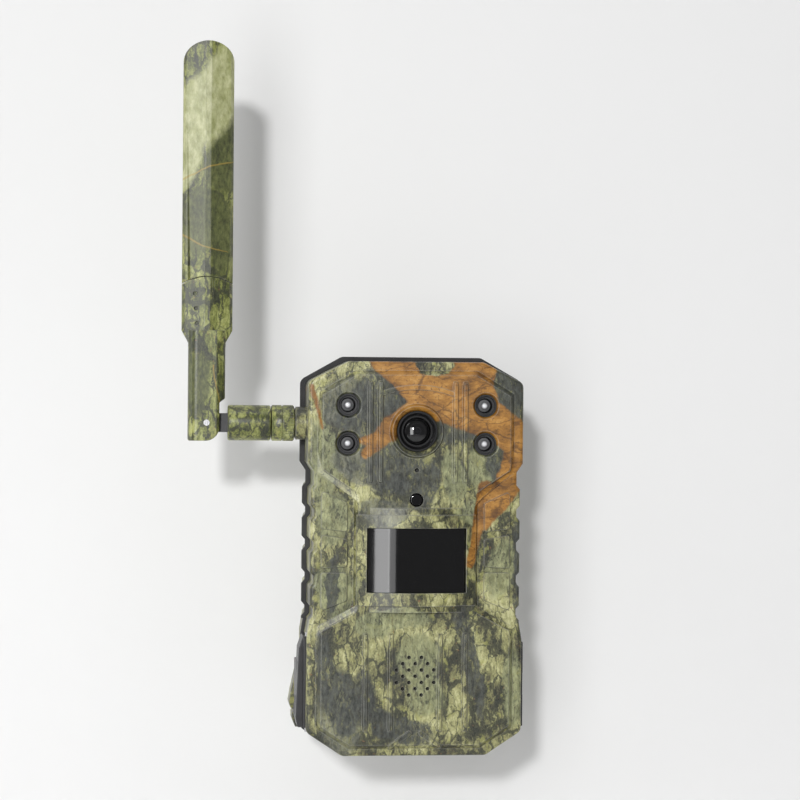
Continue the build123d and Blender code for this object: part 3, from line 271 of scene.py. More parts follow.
# one branch after another: from x, z to x, z, and the half width at each end
branches = [
    (-14, 142, 6, 131, 3.5, 9.0), (6, 131, 18, 129, 10.0, 11.0), (18, 129, 21, 142, 9.0, 8.5),
    (6, 127, -9, 119, 6.0, 4.0), (-9, 119, -18.5, 108.5, 4.2, 1.4), (18, 126, 31, 119, 8.0, 6.0),
    (31, 119, 38, 113, 6.0, 6.5), (37, 113, 35, 101, 5.0, 4.4), (35, 101, 29, 91, 5.2, 4.2),
    (29, 91, 24.5, 82, 4.2, 0.8), (25, 96, 19.4, 69, 3.0, 1.5), (-38, 132, -34, 118, 0.9, 0.4),
    (-14, 114, -19.5, 113.5, 3.0, 1.2),
]
barkGaps = [(6.5, 141, 7.0, 4.2, 0), (19.5, 110, 11, 5.5, -24), (-1.0, 108, 8, 5, 0)]


def barkColour(tree, vector, tones, seed):
    # plates of bark in several tones, with upright streaks and specks, and dark uneven cracks between them
    moved = vectorMaths(tree, "ADD", vector, (seed, seed * 0.7, seed * 0.3))
    bent = wander(tree, moved, 7.0, 5.5)
    grains = ("streak", "plate", "patch", "speck", "rust", "lime")
    grain = {k: tuple(v * mm for v in barkLook[k]) for k in grains}
    streak = noise(tree, stretched(tree, bent, grain["streak"]), 5.0, 0.6)
    patch = noise(tree, stretched(tree, moved, grain["patch"]), 3.0, 0.5)
    speck = noise(tree, stretched(tree, moved, grain["speck"]), 2.0, 0.6)
    tone = maths(tree, "ADD", maths(tree, "MULTIPLY", streak, 0.40), maths(tree, "MULTIPLY", patch, 0.52))
    tone = maths(tree, "ADD", tone, maths(tree, "MULTIPLY", speck, 0.16))
    colour = ramp(tree, remap(tree, tone, 0.40, 0.68), tones)
    rough = wander(tree, bent, 1.6, 1.8)
    crack = cracks(tree, stretched(tree, rough, grain["plate"]))
    width = remap(tree, patch, 0.35, 0.62, 0.16, 0.02)
    seam = remap(tree, maths(tree, "SUBTRACT", crack, width), -0.02, 0.03)
    dark = ramp(tree, speck, barkLook["crackTones"])
    colour = blend(tree, seam, blend(tree, 0.82, colour, dark), colour)
    rust = noise(tree, stretched(tree, moved, grain["rust"]), 3.0, 0.6)
    colour = blend(tree, remap(tree, rust, 0.66, 0.72, 0.0, 0.55), colour, barkLook["rustColour"])
    lime = noise(tree, stretched(tree, bent, grain["lime"]), 4.0, 0.65)
    colour = blend(tree, remap(tree, lime, 0.58, 0.66, 0.0, 0.5), colour, barkLook["limeColour"])
    return colour, streak, speck


def mottled(tree, vector, dark, pale, size, seed):
    moved = vectorMaths(tree, "ADD", vector, (seed, 0.0, -seed))
    value = noise(tree, stretched(tree, moved, (size * mm, size * mm, 2.2 * size * mm)), 7.0, 0.72)
    return ramp(tree, remap(tree, value, 0.38, 0.68), [(0.0, dark), (1.0, pale)])


woodLook = {
    "tones": [
        (0.0, (0.085, 0.036, 0.010)), (0.28, (0.240, 0.108, 0.018)), (0.60, (0.400, 0.190, 0.034)),
        (1.0, (0.560, 0.320, 0.090)),
    ],
    "checkColour": (0.060, 0.024, 0.010),
    "pitColour": (0.10, 0.045, 0.015),
    "borderColour": (0.115, 0.045, 0.014),
    # the wood is printed on the front alone: it fades out between these depths, in millimetres
    "fadeFrom": -14.0,
    "fadeTo": -15.5,
}


def branchColour(tree, vector):
    # split wood: tawny fibre, a few long dark checks, and small dark pits
    moved = wander(tree, vector, 14.0, 6.0)
    tone = noise(tree, stretched(tree, moved, (8 * mm, 8 * mm, 5 * mm)), 6.0, 0.62)
    fibre = noise(tree, stretched(tree, moved, (2.4 * mm, 2.4 * mm, 0.6 * mm)), 3.0, 0.6)
    tone = maths(tree, "ADD", maths(tree, "MULTIPLY", tone, 0.75), maths(tree, "MULTIPLY", fibre, 0.25))
    colour = ramp(tree, remap(tree, tone, 0.34, 0.68), woodLook["tones"])
    split = cracks(tree, stretched(tree, wander(tree, vector, 9.0, 7.0), (26 * mm, 26 * mm, 9 * mm)))
    colour = blend(tree, remap(tree, split, 0.004, 0.022, 0.35, 1.0), woodLook["checkColour"], colour)
    pits = noise(tree, stretched(tree, vector, (0.9 * mm,) * 3), 2.0, 0.5)
    return blend(tree, remap(tree, pits, 0.60, 0.68, 0.0, 0.6), colour, woodLook["pitColour"])


# the film's surface: how far its edges are rounded in millimetres, how strong the pale painted highlight laid
# along its edges is and its colour, and the least and greatest roughness
camoSkin = {
    "case": {"rounding": 0.55, "paintedEdgeHighlight": 0.42, "paintedEdgeHighlightColour": (0.47, 0.47, 0.42), "rough": (0.27, 0.42)},
    "aerial": {"rounding": 0.45, "paintedEdgeHighlight": 0.30, "paintedEdgeHighlightColour": (0.47, 0.47, 0.38), "rough": (0.28, 0.44)},
}


def paintedSkin(tree, shader, here, colour, fine, look):
    soft, edge = softEdge(tree, look["rounding"])
    # a pale painted highlight along every edge, standing in for the silver sheen that the edges catch
    colour = blend(tree, maths(tree, "MULTIPLY", edge, look["paintedEdgeHighlight"]), colour, look["paintedEdgeHighlightColour"])
    tree.links.new(colour, shader.inputs["Base Color"])
    tree.links.new(remap(tree, fine, 0.3, 0.7, *look["rough"]), shader.inputs["Roughness"])
    shader.inputs["Specular IOR Level"].default_value = 0.55
    skin = noise(tree, stretched(tree, here, (0.22 * mm,) * 3), 2.0, 0.5)
    bump(tree, shader, skin, 0.05 * mm, 0.35, soft)


def makeCaseCamo():
    material, tree, shader = newMaterial("caseCamo")
    here = place(tree)
    ragged = wander(tree, wander(tree, here, 13.0, 8.0), 3.0, 3.6)
    colour, streak, fine = barkColour(tree, here, barkLook["caseTones"], 0.0)
    lichen = mottled(tree, here, (0.110, 0.120, 0.058), (0.420, 0.440, 0.235), 1.9, 0.02)
    grey = mottled(tree, here, (0.045, 0.050, 0.042), (0.215, 0.222, 0.175), 1.5, 0.05)
    charcoal = mottled(tree, here, (0.009, 0.011, 0.011), (0.100, 0.108, 0.094), 1.5, 0.09)
    broken = remap(tree, streak, 0.36, 0.50, 0.15, 1.0)
    for paint, spots, cover in ((lichen, "lichen", 0.8), (grey, "grey", 0.75), (charcoal, "charcoal", 0.93)):
        mask = largest(tree, [blob(tree, ragged, spot, 0.10) for spot in caseSpots[spots]])
        mask = maths(tree, "MULTIPLY", mask, maths(tree, "MULTIPLY", broken, cover))
        colour = blend(tree, mask, colour, paint)
    softly = wander(tree, wander(tree, here, 16.0, 4.5), 2.2, 1.5)
    wood = largest(tree, [limb(tree, softly, run) for run in branches])
    heart = largest(tree, [limb(tree, softly, run, 1.9) for run in branches])
    gap = largest(tree, [blob(tree, softly, spot, 0.05) for spot in barkGaps])
    wood = maths(tree, "MULTIPLY", wood, maths(tree, "SUBTRACT", 1.0, gap))
    facing = tree.nodes.new("ShaderNodeSeparateXYZ")
    feed(tree, facing.inputs[0], here)
    frontOnly = remap(tree, facing.outputs["Y"], woodLook["fadeFrom"] * mm, woodLook["fadeTo"] * mm)
    wood = maths(tree, "MULTIPLY", wood, frontOnly)
    inwards = remap(tree, heart, 0.45, 0.85, 0.55, 1.0)
    timber = blend(tree, inwards, woodLook["borderColour"], branchColour(tree, here))
    colour = blend(tree, wood, colour, timber)
    paintedSkin(tree, shader, here, colour, fine, camoSkin["case"])
    return material


aerialSpots = {
    "pale": [(-77, 232, 11, 17, -38), (-83, 214, 5, 12, -20), (-70, 247, 6, 8, -30)],
    "shade": [(-68, 214, 8, 13, -24), (-78, 192, 7, 13, -10), (-70, 186, 4, 13, 0), (-79, 133, 4, 12, 0)],
}
aerialTwigs = [
    (-85, 206.5, -75, 211.5, 0.32, 0.26), (-75, 211.5, -65, 213.6, 0.26, 0.18),
    (-85, 187, -77, 182.6, 0.34, 0.24), (-77, 182.6, -68, 180.5, 0.24, 0.12),
    (-73, 140, -70.4, 124, 0.30, 0.14),
]


def makeAerialCamo():
    material, tree, shader = newMaterial("aerialCamo")
    here = place(tree)
    ragged = wander(tree, wander(tree, here, 12.0, 7.0), 2.2, 2.0)
    colour, streak, fine = barkColour(tree, here, barkLook["aerialTones"], 0.31)
    pale = mottled(tree, here, (0.260, 0.275, 0.110), (0.560, 0.565, 0.330), 2.2, 0.03)
    shade = mottled(tree, here, (0.034, 0.040, 0.016), (0.130, 0.145, 0.050), 1.1, 0.07)
    for paint, spots, cover in ((shade, "shade", 0.85), (pale, "pale", 0.9)):
        mask = largest(tree, [blob(tree, ragged, spot, 0.14) for spot in aerialSpots[spots]])
        colour = blend(tree, maths(tree, "MULTIPLY", mask, cover), colour, paint)
    softly = wander(tree, here, 7.0, 1.6)
    twig = largest(tree, [limb(tree, softly, run, 0.12) for run in aerialTwigs])
    colour = blend(tree, maths(tree, "MULTIPLY", twig, 0.6), colour, (0.36, 0.25, 0.05))
    paintedSkin(tree, shader, here, colour, fine, camoSkin["aerial"])
    return material


# Plain finishes: a base colour that drifts a little, with its own grain and gloss


def makeFinish(name, dark, pale, rough, grain, depth, metallic=0.0):
    material, tree, shader = newMaterial(name)
    here = place(tree)
    drift = noise(tree, stretched(tree, here, (6.0 * mm,) * 3), 5.0, 0.6)
    colour = ramp(tree, remap(tree, drift, 0.3, 0.7), [(0.0, dark), (1.0, pale)])
    tree.links.new(colour, shader.inputs["Base Color"])
    texture = noise(tree, stretched(tree, here, tuple(g * mm for g in grain)), 3.0, 0.6)
    tree.links.new(remap(tree, texture, 0.3, 0.7, *rough), shader.inputs["Roughness"])
    shader.inputs["Metallic"].default_value = metallic
    bump(tree, shader, texture, depth * mm, 0.4)
    return material


def makeDarkWindow():
    # black polythene, smooth and glossy, whose tone and gloss drift a little
    material, tree, shader = newMaterial("darkWindow")
    here = place(tree)
    drift = noise(tree, stretched(tree, here, (14 * mm, 14 * mm, 30 * mm)), 3.0, 0.5)
    colour = ramp(tree, drift, [(0.0, (0.0020, 0.0020, 0.0022)), (1.0, (0.0050, 0.0050, 0.0055))])
    tree.links.new(colour, shader.inputs["Base Color"])
    tree.links.new(remap(tree, drift, 0.3, 0.7, 0.06, 0.11), shader.inputs["Roughness"])
    shader.inputs["Specular IOR Level"].default_value = 0.5
    shader.inputs["Coat Weight"].default_value = 0.25
    shader.inputs["Coat Roughness"].default_value = 0.05
    bump(tree, shader, drift, 0.12 * mm, 0.15)
    return material


def makeBoard():
    # green solder mask over a lattice of tracks
    material, tree, shader = newMaterial("circuitBoard")
    here = place(tree)
    tracks = cracks(tree, stretched(tree, here, (2.4 * mm, 30 * mm, 2.4 * mm)), 0.35)
    base = blend(tree, remap(tree, tracks, 0.05, 0.09), (0.02, 0.16, 0.08), (0.008, 0.075, 0.038))
    drift = noise(tree, stretched(tree, here, (12 * mm,) * 3), 3.0, 0.5)
    tree.links.new(blend(tree, drift, base, (0.01, 0.10, 0.05)), shader.inputs["Base Color"])
    tree.links.new(remap(tree, tracks, 0.03, 0.1, 0.28, 0.42), shader.inputs["Roughness"])
    bump(tree, shader, remap(tree, tracks, 0.05, 0.09), 0.04 * mm, 0.4)
    return material


# how far the gold band's lower border is below the top of each bank, and how far above the foot of the lower
# bank it ends, each as where the fade starts and where it is over, in millimetres
wrapBand = {"below": (12.5, 12.0), "foot": (2.0, 1.0)}


def makeCellWrap(upper, lower):
    # a dark green wrap with a pale gold band at the upper end of each bank
    material, tree, shader = newMaterial("cellWrap")
    here = place(tree)
    parts = tree.nodes.new("ShaderNodeSeparateXYZ")
    feed(tree, parts.inputs[0], here)
    start, over = (v * mm for v in wrapBand["below"])
    band = remap(tree, parts.outputs["Z"], upper[1].z - start, upper[1].z - over)
    low = remap(tree, parts.outputs["Z"], lower[1].z - start, lower[1].z - over)
    start, over = (v * mm for v in wrapBand["foot"])
    gap = remap(tree, parts.outputs["Z"], lower[1].z + start, lower[1].z + over)
    band = maths(tree, "MAXIMUM", band, maths(tree, "MULTIPLY", low, gap))
    drift = noise(tree, stretched(tree, here, (3 * mm, 3 * mm, 12 * mm)), 3.0, 0.5)
    green = ramp(tree, drift, [(0.2, (0.010, 0.045, 0.022)), (0.8, (0.022, 0.080, 0.040))])
    gold = ramp(tree, drift, [(0.2, (0.42, 0.30, 0.10)), (0.8, (0.56, 0.42, 0.18))])
    tree.links.new(blend(tree, band, green, gold), shader.inputs["Base Color"])
    tree.links.new(remap(tree, drift, 0.3, 0.7, 0.2, 0.32), shader.inputs["Roughness"])
    shader.inputs["Metallic"].default_value = 0.35
    bump(tree, shader, drift, 0.03 * mm, 0.3)
    return material


def makeMesh():
    # a woven screen: dark threads, with the open cells between them painted near black as the shade seen
    # through them
    material, tree, shader = newMaterial("wovenMesh")
    here = place(tree)
    threads = vectorMaths(tree, "SCALE", here, scale=1.0 / (0.5 * mm))
    wave = vectorMaths(tree, "SINE", vectorMaths(tree, "MULTIPLY", threads, (6.283, 0.0, 6.283)))
    height = vectorMaths(tree, "LENGTH", wave)
    # the low cells are painted darkest, as painted shade in the holes
    tones = [(0.0, (0.004, 0.004, 0.004)), (1.0, (0.06, 0.06, 0.06))]
    tree.links.new(ramp(tree, remap(tree, height, 0.2, 1.3), tones), shader.inputs["Base Color"])
    shader.inputs["Roughness"].default_value = 0.6
    bump(tree, shader, height, 0.1 * mm, 0.6)
    return material


# tones from the axis outwards, as a share of the outermost ring, whose radius is in millimetres
# the lamps' tones are painted light: a painted glint in the middle, painted shade in the cup, a painted
# reflection at the collar
lampPaintedLight = {
    "reach": 3.0,
    "tones": [
        (0.00, (0.90, 0.90, 0.92)), (0.22, (0.72, 0.72, 0.74)), (0.32, (0.30, 0.30, 0.31)),
        (0.42, (0.085, 0.085, 0.09)), (0.56, (0.20, 0.20, 0.205)), (0.70, (0.24, 0.24, 0.245)),
        (0.82, (0.07, 0.07, 0.072)), (1.00, (0.02, 0.02, 0.02)),
    ],
}
# the lens's paler rings and its slightly paler middle are painted glints
lensPaintedGlints = {
    "reach": 5.2,
    "tones": [
        (0.0, (0.010, 0.010, 0.012)), (0.22, (0.004, 0.004, 0.005)), (0.26, (0.020, 0.020, 0.022)),
        (0.30, (0.004, 0.004, 0.005)), (0.52, (0.0035, 0.0035, 0.004)), (0.55, (0.016, 0.016, 0.018)),
        (0.58, (0.004, 0.004, 0.004)), (0.80, (0.003, 0.003, 0.0035)), (0.84, (0.013, 0.013, 0.014)),
        (0.88, (0.003, 0.003, 0.003)), (1.0, (0.003, 0.003, 0.003)),
    ],
}


def makeLampResin():
    # an opaque gloss with the look of clear resin painted in: a painted glint bright in the middle over the
    # die, painted
    #     # shade dark in the cup, and a painted grey reflection at the collar
    material, tree, shader = newMaterial("lampResin")
    ring = tree.nodes.new("ShaderNodeAttribute")
    ring.attribute_name = "ring"
    here = place(tree)
    drift = noise(tree, stretched(tree, here, (0.8 * mm,) * 3), 3.0, 0.5)
    reach = maths(tree, "ADD", ring.outputs["Fac"], remap(tree, drift, 0.3, 0.7, -0.06, 0.06))
    colour = ramp(tree, remap(tree, reach, 0.0, lampPaintedLight["reach"]), lampPaintedLight["tones"])
    tree.links.new(colour, shader.inputs["Base Color"])
    tree.links.new(remap(tree, drift, 0.3, 0.7, 0.10, 0.18), shader.inputs["Roughness"])
    shader.inputs["IOR"].default_value = 1.5
    shader.inputs["Coat Weight"].default_value = 0.6
    shader.inputs["Coat Roughness"].default_value = 0.06
    return material


def makeLensGlass():
    # dark opaque gloss with three faint paler rings and a slightly paler middle, painted glints standing in
    # for the rings
    #     # behind the glass catching the light, and a slight drift in how smooth it is
    material, tree, shader = newMaterial("lensGlass")
    ring = tree.nodes.new("ShaderNodeAttribute")
    ring.attribute_name = "ring"
    here = place(tree)
    drift = noise(tree, stretched(tree, here, (4 * mm,) * 3), 2.0, 0.5)
    colour = ramp(tree, remap(tree, ring.outputs["Fac"], 0.0, lensPaintedGlints["reach"]), lensPaintedGlints["tones"])
    tree.links.new(colour, shader.inputs["Base Color"])
    tree.links.new(remap(tree, drift, 0.3, 0.7, 0.02, 0.045), shader.inputs["Roughness"])
    shader.inputs["IOR"].default_value = 1.52
    shader.inputs["Coat Weight"].default_value = 0.35
    shader.inputs["Coat Roughness"].default_value = 0.02
    return material


# the arguments of makeFinish: name, darkest and palest colour, least and greatest roughness, the grain's size
# along X, Y and Z and its depth in millimetres, and how metallic
plainFinishes = {
    "black_rubber": (
        "blackRubber", (0.010, 0.010, 0.011), (0.024, 0.024, 0.025), (0.55, 0.75), (0.25,) * 3, 0.05,
    ),
    "black_plastic": (
        "blackPlastic", (0.012, 0.012, 0.013), (0.026, 0.026, 0.028), (0.30, 0.46), (0.18,) * 3, 0.04,
    ),
    "black_metal": (
        "blackMetal", (0.003, 0.003, 0.0035), (0.007, 0.007, 0.008), (0.24, 0.34), (0.1, 2.0, 0.1), 0.02,
    ),
    "grey_plastic": (
        "greyPlastic", (0.22, 0.23, 0.24), (0.34, 0.35, 0.36), (0.35, 0.5), (0.2,) * 3, 0.03,
    ),
    "steel": (
        "brushedSteel", (0.42, 0.42, 0.43), (0.60, 0.60, 0.61), (0.22, 0.40), (0.15, 0.15, 2.5), 0.02, 1.0,
    ),
    "brass": (
        "turnedBrass", (0.50, 0.34, 0.13), (0.68, 0.50, 0.22), (0.22, 0.40), (0.15, 0.15, 1.2), 0.02, 1.0,
    ),
    "black_resin": (
        "blackResin", (0.012, 0.012, 0.013), (0.032, 0.032, 0.034), (0.45, 0.62), (0.3,) * 3, 0.03,
    ),
    "card_white": ("cardWhite", (0.62, 0.62, 0.60), (0.74, 0.74, 0.72), (0.35, 0.5), (0.4,) * 3, 0.02),
    "cable_jacket": (
        "cableJacket", (0.012, 0.012, 0.013), (0.03, 0.03, 0.032), (0.4, 0.55), (0.3,) * 3, 0.02,
    ),
}

finishes = {slotName: makeFinish(*look) for slotName, look in plainFinishes.items()}
finishes["camo_shell"] = makeCaseCamo()
finishes["camo_aerial"] = makeAerialCamo()
finishes["dark_window"] = makeDarkWindow()
finishes["lens_glass"] = makeLensGlass()
finishes["clear_resin"] = makeLampResin()
finishes["circuit_board"] = makeBoard()
finishes["speaker_mesh"] = makeMesh()
finishes["cell_wrap"] = makeCellWrap(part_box("batteries_upper"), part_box("batteries_lower"))
for row in frame["record"]["subparts"]:
    data = nodes[row["node"]].data
    data.materials.clear()
    data.materials.append(finishes[row["material_slot"]])
print("materials made:", len(finishes))


# Turned pieces, each a profile carried round an axis along Y


def turned(name, profile, x, z, slices, slotName):
    # A surface of revolution: the point at angle a and profile step (y, r) is x + r cos a, y, z + r sin a.
    # A profile that starts and ends at r = 0 closes on itself at both poles.
    y, r = np.array(profile, dtype=float).T
    angle = np.linspace(0.0, 2.0 * math.pi, slices, endpoint=False)
    grid = np.empty((len(y), slices, 3))
    grid[..., 0] = x + r[:, None] * np.cos(angle)
    grid[..., 1] = y[:, None]
    grid[..., 2] = z + r[:, None] * np.sin(angle)
    row, column = np.meshgrid(np.arange(len(y) - 1), np.arange(slices), indexing="ij")
    here = row * slices + column
    nextColumn = row * slices + (column + 1) % slices
    faces = np.stack([here, here + slices, nextColumn + slices, nextColumn], axis=-1).reshape(-1, 4)
    mesh = bpy.data.meshes.new(name)
    mesh.from_pydata(grid.reshape(-1, 3), [], faces)
    piece = bpy.data.objects.new(name, mesh)
    bpy.context.scene.collection.objects.link(piece)
    tidyMesh(piece, 35.0)
    # how far each point is from the axis, in millimetres, for finishes that follow the rings
    points = np.empty(len(mesh.vertices) * 3)
    mesh.vertices.foreach_get("co", points)
    points = points.reshape(-1, 3)
    rings = np.hypot(points[:, 0] - x, points[:, 2] - z) / mm
    mesh.attributes.new("ring", "FLOAT", "POINT").data.foreach_set("value", rings)
    mesh.materials.append(finishes[slotName])
    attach(piece, "front_case")
    return piece


def tidyMesh(piece, smoothAngle):
    # joins the points at the poles, points every face outwards and smooths all but the sharp edges
    work = bmesh.new()
    work.from_mesh(piece.data)
    bmesh.ops.remove_doubles(work, verts=work.verts, dist=1e-7)
    bmesh.ops.dissolve_degenerate(work, edges=work.edges, dist=1e-8)
    bmesh.ops.recalc_face_normals(work, faces=work.faces)
    limit = math.radians(smoothAngle)
    for face in work.faces:
        face.smooth = True
    for edge in work.edges:
        edge.smooth = len(edge.link_faces) == 2 and edge.calc_face_angle(0.0) < limit
    work.to_mesh(piece.data)
    work.free()


def arc(centreY, radius, start, end, steps):
    # points (y, r) on a circle about (centreY, 0), from one angle to another, 0 being towards the front
    a = np.radians(np.linspace(start, end, steps))
    return [(centreY - radius * math.cos(t), radius * math.sin(t)) for t in a]


lampShape = {
    "radius": 2.5 * mm,
    "baseRadius": 2.9 * mm,
    "rim": 1.0 * mm,
    # the reflector cup: its radius and lip, how far its middle is behind the dome's centre, how far its lip
    # stands in front of that, and how thick it is behind it
    "cupRadius": 1.45 * mm,
    "cupLip": 0.15 * mm,
    "cupSet": 0.4 * mm,
    "cupDepth": 0.7 * mm,
    "cupBack": 0.6 * mm,
}


def makeLamps():
    look = lampShape
    for n in range(1, 5):
        node = f"ir_lamp_{n}"
        low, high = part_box(node)
        x, z = (low.x + high.x) / 2, (low.z + high.z) / 2
        radius, base = look["radius"], look["baseRadius"]
        dome = low.y + radius
        collar = high.y - look["rim"]
        profile = arc(dome, radius, 0, 90, 18)
        profile += [(collar, radius), (collar, base), (high.y, base), (high.y, 0.0)]
        lamp = turned(f"lampDome{n}", profile, x, z, 48, "clear_resin")
        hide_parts(node)
        cup, lip = look["cupRadius"], look["cupRadius"] + look["cupLip"]
        tip = dome + look["cupSet"]
        front, back = tip - look["cupDepth"], tip + look["cupBack"]
        shape = [(tip, 0.0), (tip, 0.5 * cup), (front, cup), (front, lip), (back, lip), (back, 0.0)]
        turned(f"lampDie{n}", shape, x, z, 32, "steel")


lensShape = {
    "bulge": 1.6 * mm,
    "glassDepth": 2.4 * mm,
    # the stepped rings start this far behind the glass's tip; each has a flat, a slope and a step inwards
    "baffleStart": 2.7 * mm,
    "rings": 5,
    "ringFlat": 0.35 * mm,
    "ringSlope": 0.5 * mm,
    "ringStep": 0.72 * mm,
    "baffleBack": 2.2 * mm,
    # the small inner lens: its radius of curvature, where its face ends, and its back's depth and radius
    "beadRadius": 1.5 * mm,
    "beadEnd": 78,
    "beadBack": 1.9 * mm,
    "beadRim": 1.46 * mm,
}


def makeLens():
    # the front glass, and the stepped black rings that narrow towards the small inner lens
    look = lensShape
    barrelLow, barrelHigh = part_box("lens_barrel")
    x, z = (barrelLow.x + barrelHigh.x) / 2, (barrelLow.z + barrelHigh.z) / 2
    low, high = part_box("front_element")
    front, radius = low.y, (high.x - low.x) / 2
    # the ball this dome is cut from has the radius (radius squared + bulge squared) / (2 bulge)
    bulge = look["bulge"]
    bowl = (radius**2 + bulge**2) / (2 * bulge)
    spread = math.degrees(math.asin(radius / bowl))
    back = front + look["glassDepth"]
    profile = arc(front + bowl, bowl, 0, spread, 16) + [(back, radius), (back, 0.0)]
    glass = turned("lensGlass", profile, x, z, 96, "lens_glass")
    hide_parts("front_element")
    steps = []
    start = front + look["baffleStart"]
    outer, depth = radius, start
    flat = look["ringFlat"]
    for n in range(look["rings"]):
        steps += [(depth, outer), (depth, outer - flat), (depth + flat, outer - look["ringSlope"])]
        outer -= look["ringStep"]
        depth += flat
    end = depth + look["baffleBack"]
    steps += [(depth, outer), (end, outer), (end, radius), (start, radius)]
    turned("lensBaffle", steps, x, z, 96, "black_metal")
    bead = arc(depth + look["beadRadius"], look["beadRadius"], 0, look["beadEnd"], 12)
    bead += [(depth + look["beadBack"], look["beadRim"]), (depth + look["beadBack"], 0.0)]
    turned("innerLens", bead, x, z, 48, "dark_window")


makeLamps()
makeLens()
print("turned pieces made")


# The window, as one smooth curved pane

windowShape = {"thickness": 1.3 * mm, "inset": 1.65 * mm, "radius": 54.1 * mm}


def makeWindow():
    # The front is a cylinder about an upright axis: the point at width s and height t is
    # s, axis - the root of (radius squared - s squared), t. The back is the same, one thickness behind.
    low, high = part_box("pir_window")
    radius = windowShape["radius"]
    halfWide = (high.x - low.x) / 2 - windowShape["inset"]
    halfHigh = (high.z - low.z) / 2 - windowShape["inset"]
    middle = (low.z + high.z) / 2
    axis = low.y + radius
    s = np.linspace(-1.0, 1.0, 49)
    t = np.linspace(-1.0, 1.0, 25)
    wide, tall = np.meshgrid(s * halfWide, middle + t * halfHigh, indexing="ij")
    front = np.stack([wide, axis - np.sqrt(radius**2 - wide**2), tall], axis=-1)
    behind = radius - windowShape["thickness"]
    back = np.stack([wide, axis - np.sqrt(behind**2 - wide**2), tall], axis=-1)
    grid = np.concatenate([front.reshape(-1, 3), back.reshape(-1, 3)])
    rows, columns = len(s), len(t)
    i, j = np.meshgrid(np.arange(rows - 1), np.arange(columns - 1), indexing="ij")
    a = (i * columns + j).ravel()
    frontFaces = np.stack([a, a + columns, a + columns + 1, a + 1], axis=-1)
    count = rows * columns
    backFaces = frontFaces[:, ::-1] + count
    rim = np.concatenate([
        np.arange(columns - 1), np.arange(rows - 1) * columns + columns - 1,
        (rows - 1) * columns + np.arange(columns - 1, 0, -1), np.arange(rows - 1, 0, -1) * columns,
    ])
    after = np.roll(rim, -1)
    rimFaces = np.stack([rim, after, after + count, rim + count], axis=-1)
    mesh = bpy.data.meshes.new("windowPane")
    mesh.from_pydata(grid, [], np.concatenate([frontFaces, backFaces, rimFaces]))
    pane = bpy.data.objects.new("windowPane", mesh)
    bpy.context.scene.collection.objects.link(pane)
    tidyMesh(pane, 40.0)
    mesh.materials.append(finishes["dark_window"])
    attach(pane, "front_case")
    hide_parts("pir_window")


makeWindow()
print("window made")


# The triangles of each CAD part that is still seen are joined where their corners meet

joinWithin = 0.001 * mm
for piece in nodes.values():
    if piece.hide_render:
        continue
    joined = piece.modifiers.new("joined", "WELD")
    joined.merge_threshold = joinWithin


# Stage, lights and camera

stageLook = {
    "tone": 0.80,
    "wallBack": 34 * mm,
    "wallReach": 2.0,
    "floorDrop": 40 * mm,
    "floorNear": 2.5,
    # the floor is whole up to the first of these distances from the origin, and gone at the second, in metres
    "floorFade": (0.30, 0.60),
}


def stagePlane(name, corners, isWall):
    mesh = bpy.data.meshes.new(name)
    mesh.from_pydata(corners, [], [(0, 1, 2, 3)])
    plane = bpy.data.objects.new(name, mesh)
    bpy.context.scene.collection.objects.link(plane)
    material, tree, shader = newMaterial(name + "Paint")
    tone = stageLook["tone"]
    shader.inputs["Base Color"].default_value = (tone, tone, tone, 1.0)
    shader.inputs["Roughness"].default_value = 0.9
    shader.inputs["Specular IOR Level"].default_value = 0.1
    clear = tree.nodes.new("ShaderNodeBsdfTransparent")
    mix = tree.nodes.new("ShaderNodeMixShader")
    if isWall:
        # clear from behind and to the lights beyond it, so that the back of the object is seen and lit
        geometry = tree.nodes.new("ShaderNodeNewGeometry")
        path = tree.nodes.new("ShaderNodeLightPath")
        gone = maths(tree, "MAXIMUM", geometry.outputs["Backfacing"], path.outputs["Is Shadow Ray"])
    else:
        # the floor fades away into the pale surround
        gone = remap(tree, vectorMaths(tree, "LENGTH", place(tree)), *stageLook["floorFade"])
    tree.links.new(gone, mix.inputs[0])
    tree.links.new(shader.outputs[0], mix.inputs[1])
    tree.links.new(clear.outputs[0], mix.inputs[2])
    tree.links.new(mix.outputs[0], tree.nodes["Material Output"].inputs["Surface"])
    mesh.materials.append(material)


side = stageLook["wallReach"]
wallY = cadBox[1].y + stageLook["wallBack"]
wall = [(-side, wallY, -side), (side, wallY, -side), (side, wallY, side), (-side, wallY, side)]
stagePlane("backdrop", wall, True)

floorZ = cadBox[0].z - stageLook["floorDrop"]
near, far = -stageLook["floorNear"], wallY + side
floor = [(-side, near, floorZ), (side, near, floorZ), (side, far, floorZ), (-side, far, floorZ)]
stagePlane("floor", floor, False)

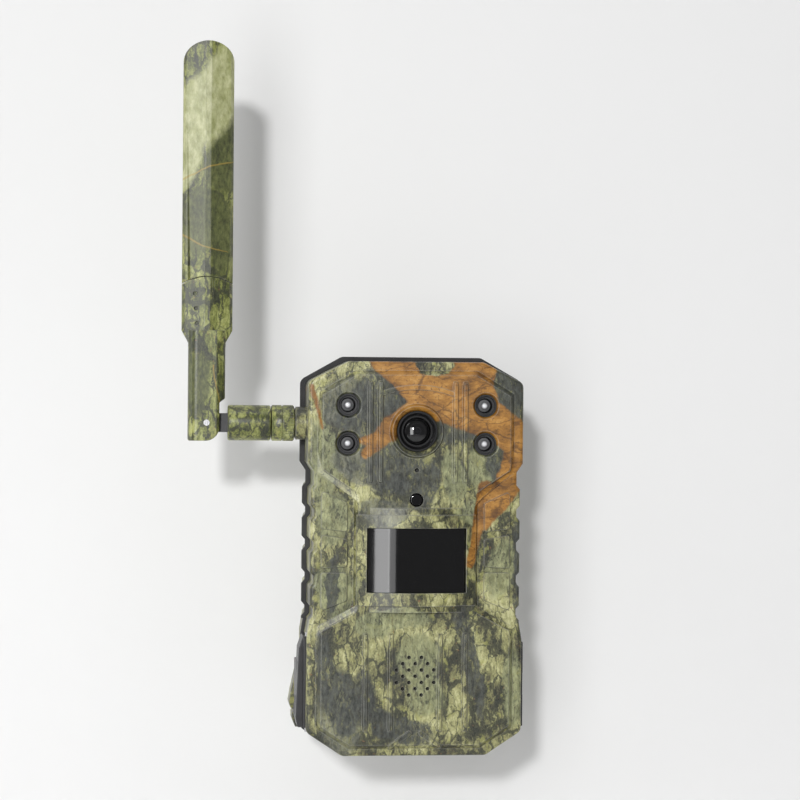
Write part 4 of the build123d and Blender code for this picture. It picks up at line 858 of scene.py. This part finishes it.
# what every lamp points at, and for each its name, place, width and height in metres, watts and shape
lampAim = (0.0, 0.0, 0.11)
stageLamps = [
    ("keyLight", (-0.62, -2.7, 0.72), (0.20, 0.20), 36.0, "DISK"),
    ("sidePanel", (-0.58, -1.51, 0.10), (0.33, 1.0), 6.5, "RECTANGLE"),
    ("sidePanelEdge", (-0.37, -1.57, 0.10), (0.16, 1.0), 1.2, "RECTANGLE"),
    ("leftStrip", (-1.5, -0.30, 0.25), (0.30, 1.6), 7.0, "RECTANGLE"),
    ("topSoft", (-0.3, -0.30, 1.6), (1.4, 0.4), 6.0, "RECTANGLE"),
    ("backSoft", (0.7, 2.2, 1.0), (1.2, 1.2), 20.0, "RECTANGLE"),
]


def areaLight(name, spot, size, power, shape):
    data = bpy.data.lights.new(name, "AREA")
    data.shape, data.size, data.size_y = shape, size[0], size[1]
    data.energy = power
    light = bpy.data.objects.new(name, data)
    bpy.context.scene.collection.objects.link(light)
    light.location = spot
    light.rotation_mode = "QUATERNION"
    light.rotation_quaternion = (Vector(lampAim) - Vector(spot)).to_track_quat("-Z", "Y")


for lamp in stageLamps:
    areaLight(*lamp)

# a pale surround to look at, but a dimmer one to light with
surround = {"lights": 0.20, "seen": 0.80}
world = bpy.data.worlds.new("softRoom")
world.use_nodes = True
background = world.node_tree.nodes["Background"]
background.inputs["Color"].default_value = (1.0, 1.0, 1.0, 1.0)
path = world.node_tree.nodes.new("ShaderNodeLightPath")
fromCamera = path.outputs["Is Camera Ray"]
brightness = remap(world.node_tree, fromCamera, 0.0, 1.0, surround["lights"], surround["seen"])
world.node_tree.links.new(brightness, background.inputs["Strength"])
bpy.context.scene.world = world
bpy.context.scene.view_settings.view_transform = "Standard"

# turn, tilt and roll are in degrees, the lens and the sensor in millimetres
cameraPlace = {
    "spot": (-98.9 * mm, -900 * mm, 131.5 * mm),
    "turn": 6.102,
    "tilt": -0.218,
    "roll": 0.481,
    "lens": 109.26,
    "sensor": 36.0,
}
cameraData = bpy.data.cameras.new("mainCamera")
cameraData.lens, cameraData.sensor_width = cameraPlace["lens"], cameraPlace["sensor"]
cameraData.clip_start, cameraData.clip_end = 0.01, 50.0
camera = bpy.data.objects.new("mainCamera", cameraData)
bpy.context.scene.collection.objects.link(camera)
turn, tilt, roll = (math.radians(cameraPlace[k]) for k in ("turn", "tilt", "roll"))
upright = Matrix.Rotation(math.pi / 2 + tilt, 4, "X")
facing = Matrix.Rotation(-turn, 4, "Z") @ upright @ Matrix.Rotation(roll, 4, "Z")
camera.matrix_world = Matrix.Translation(cameraPlace["spot"]) @ facing
bpy.context.scene.camera = camera
print("stage, lights and camera set")
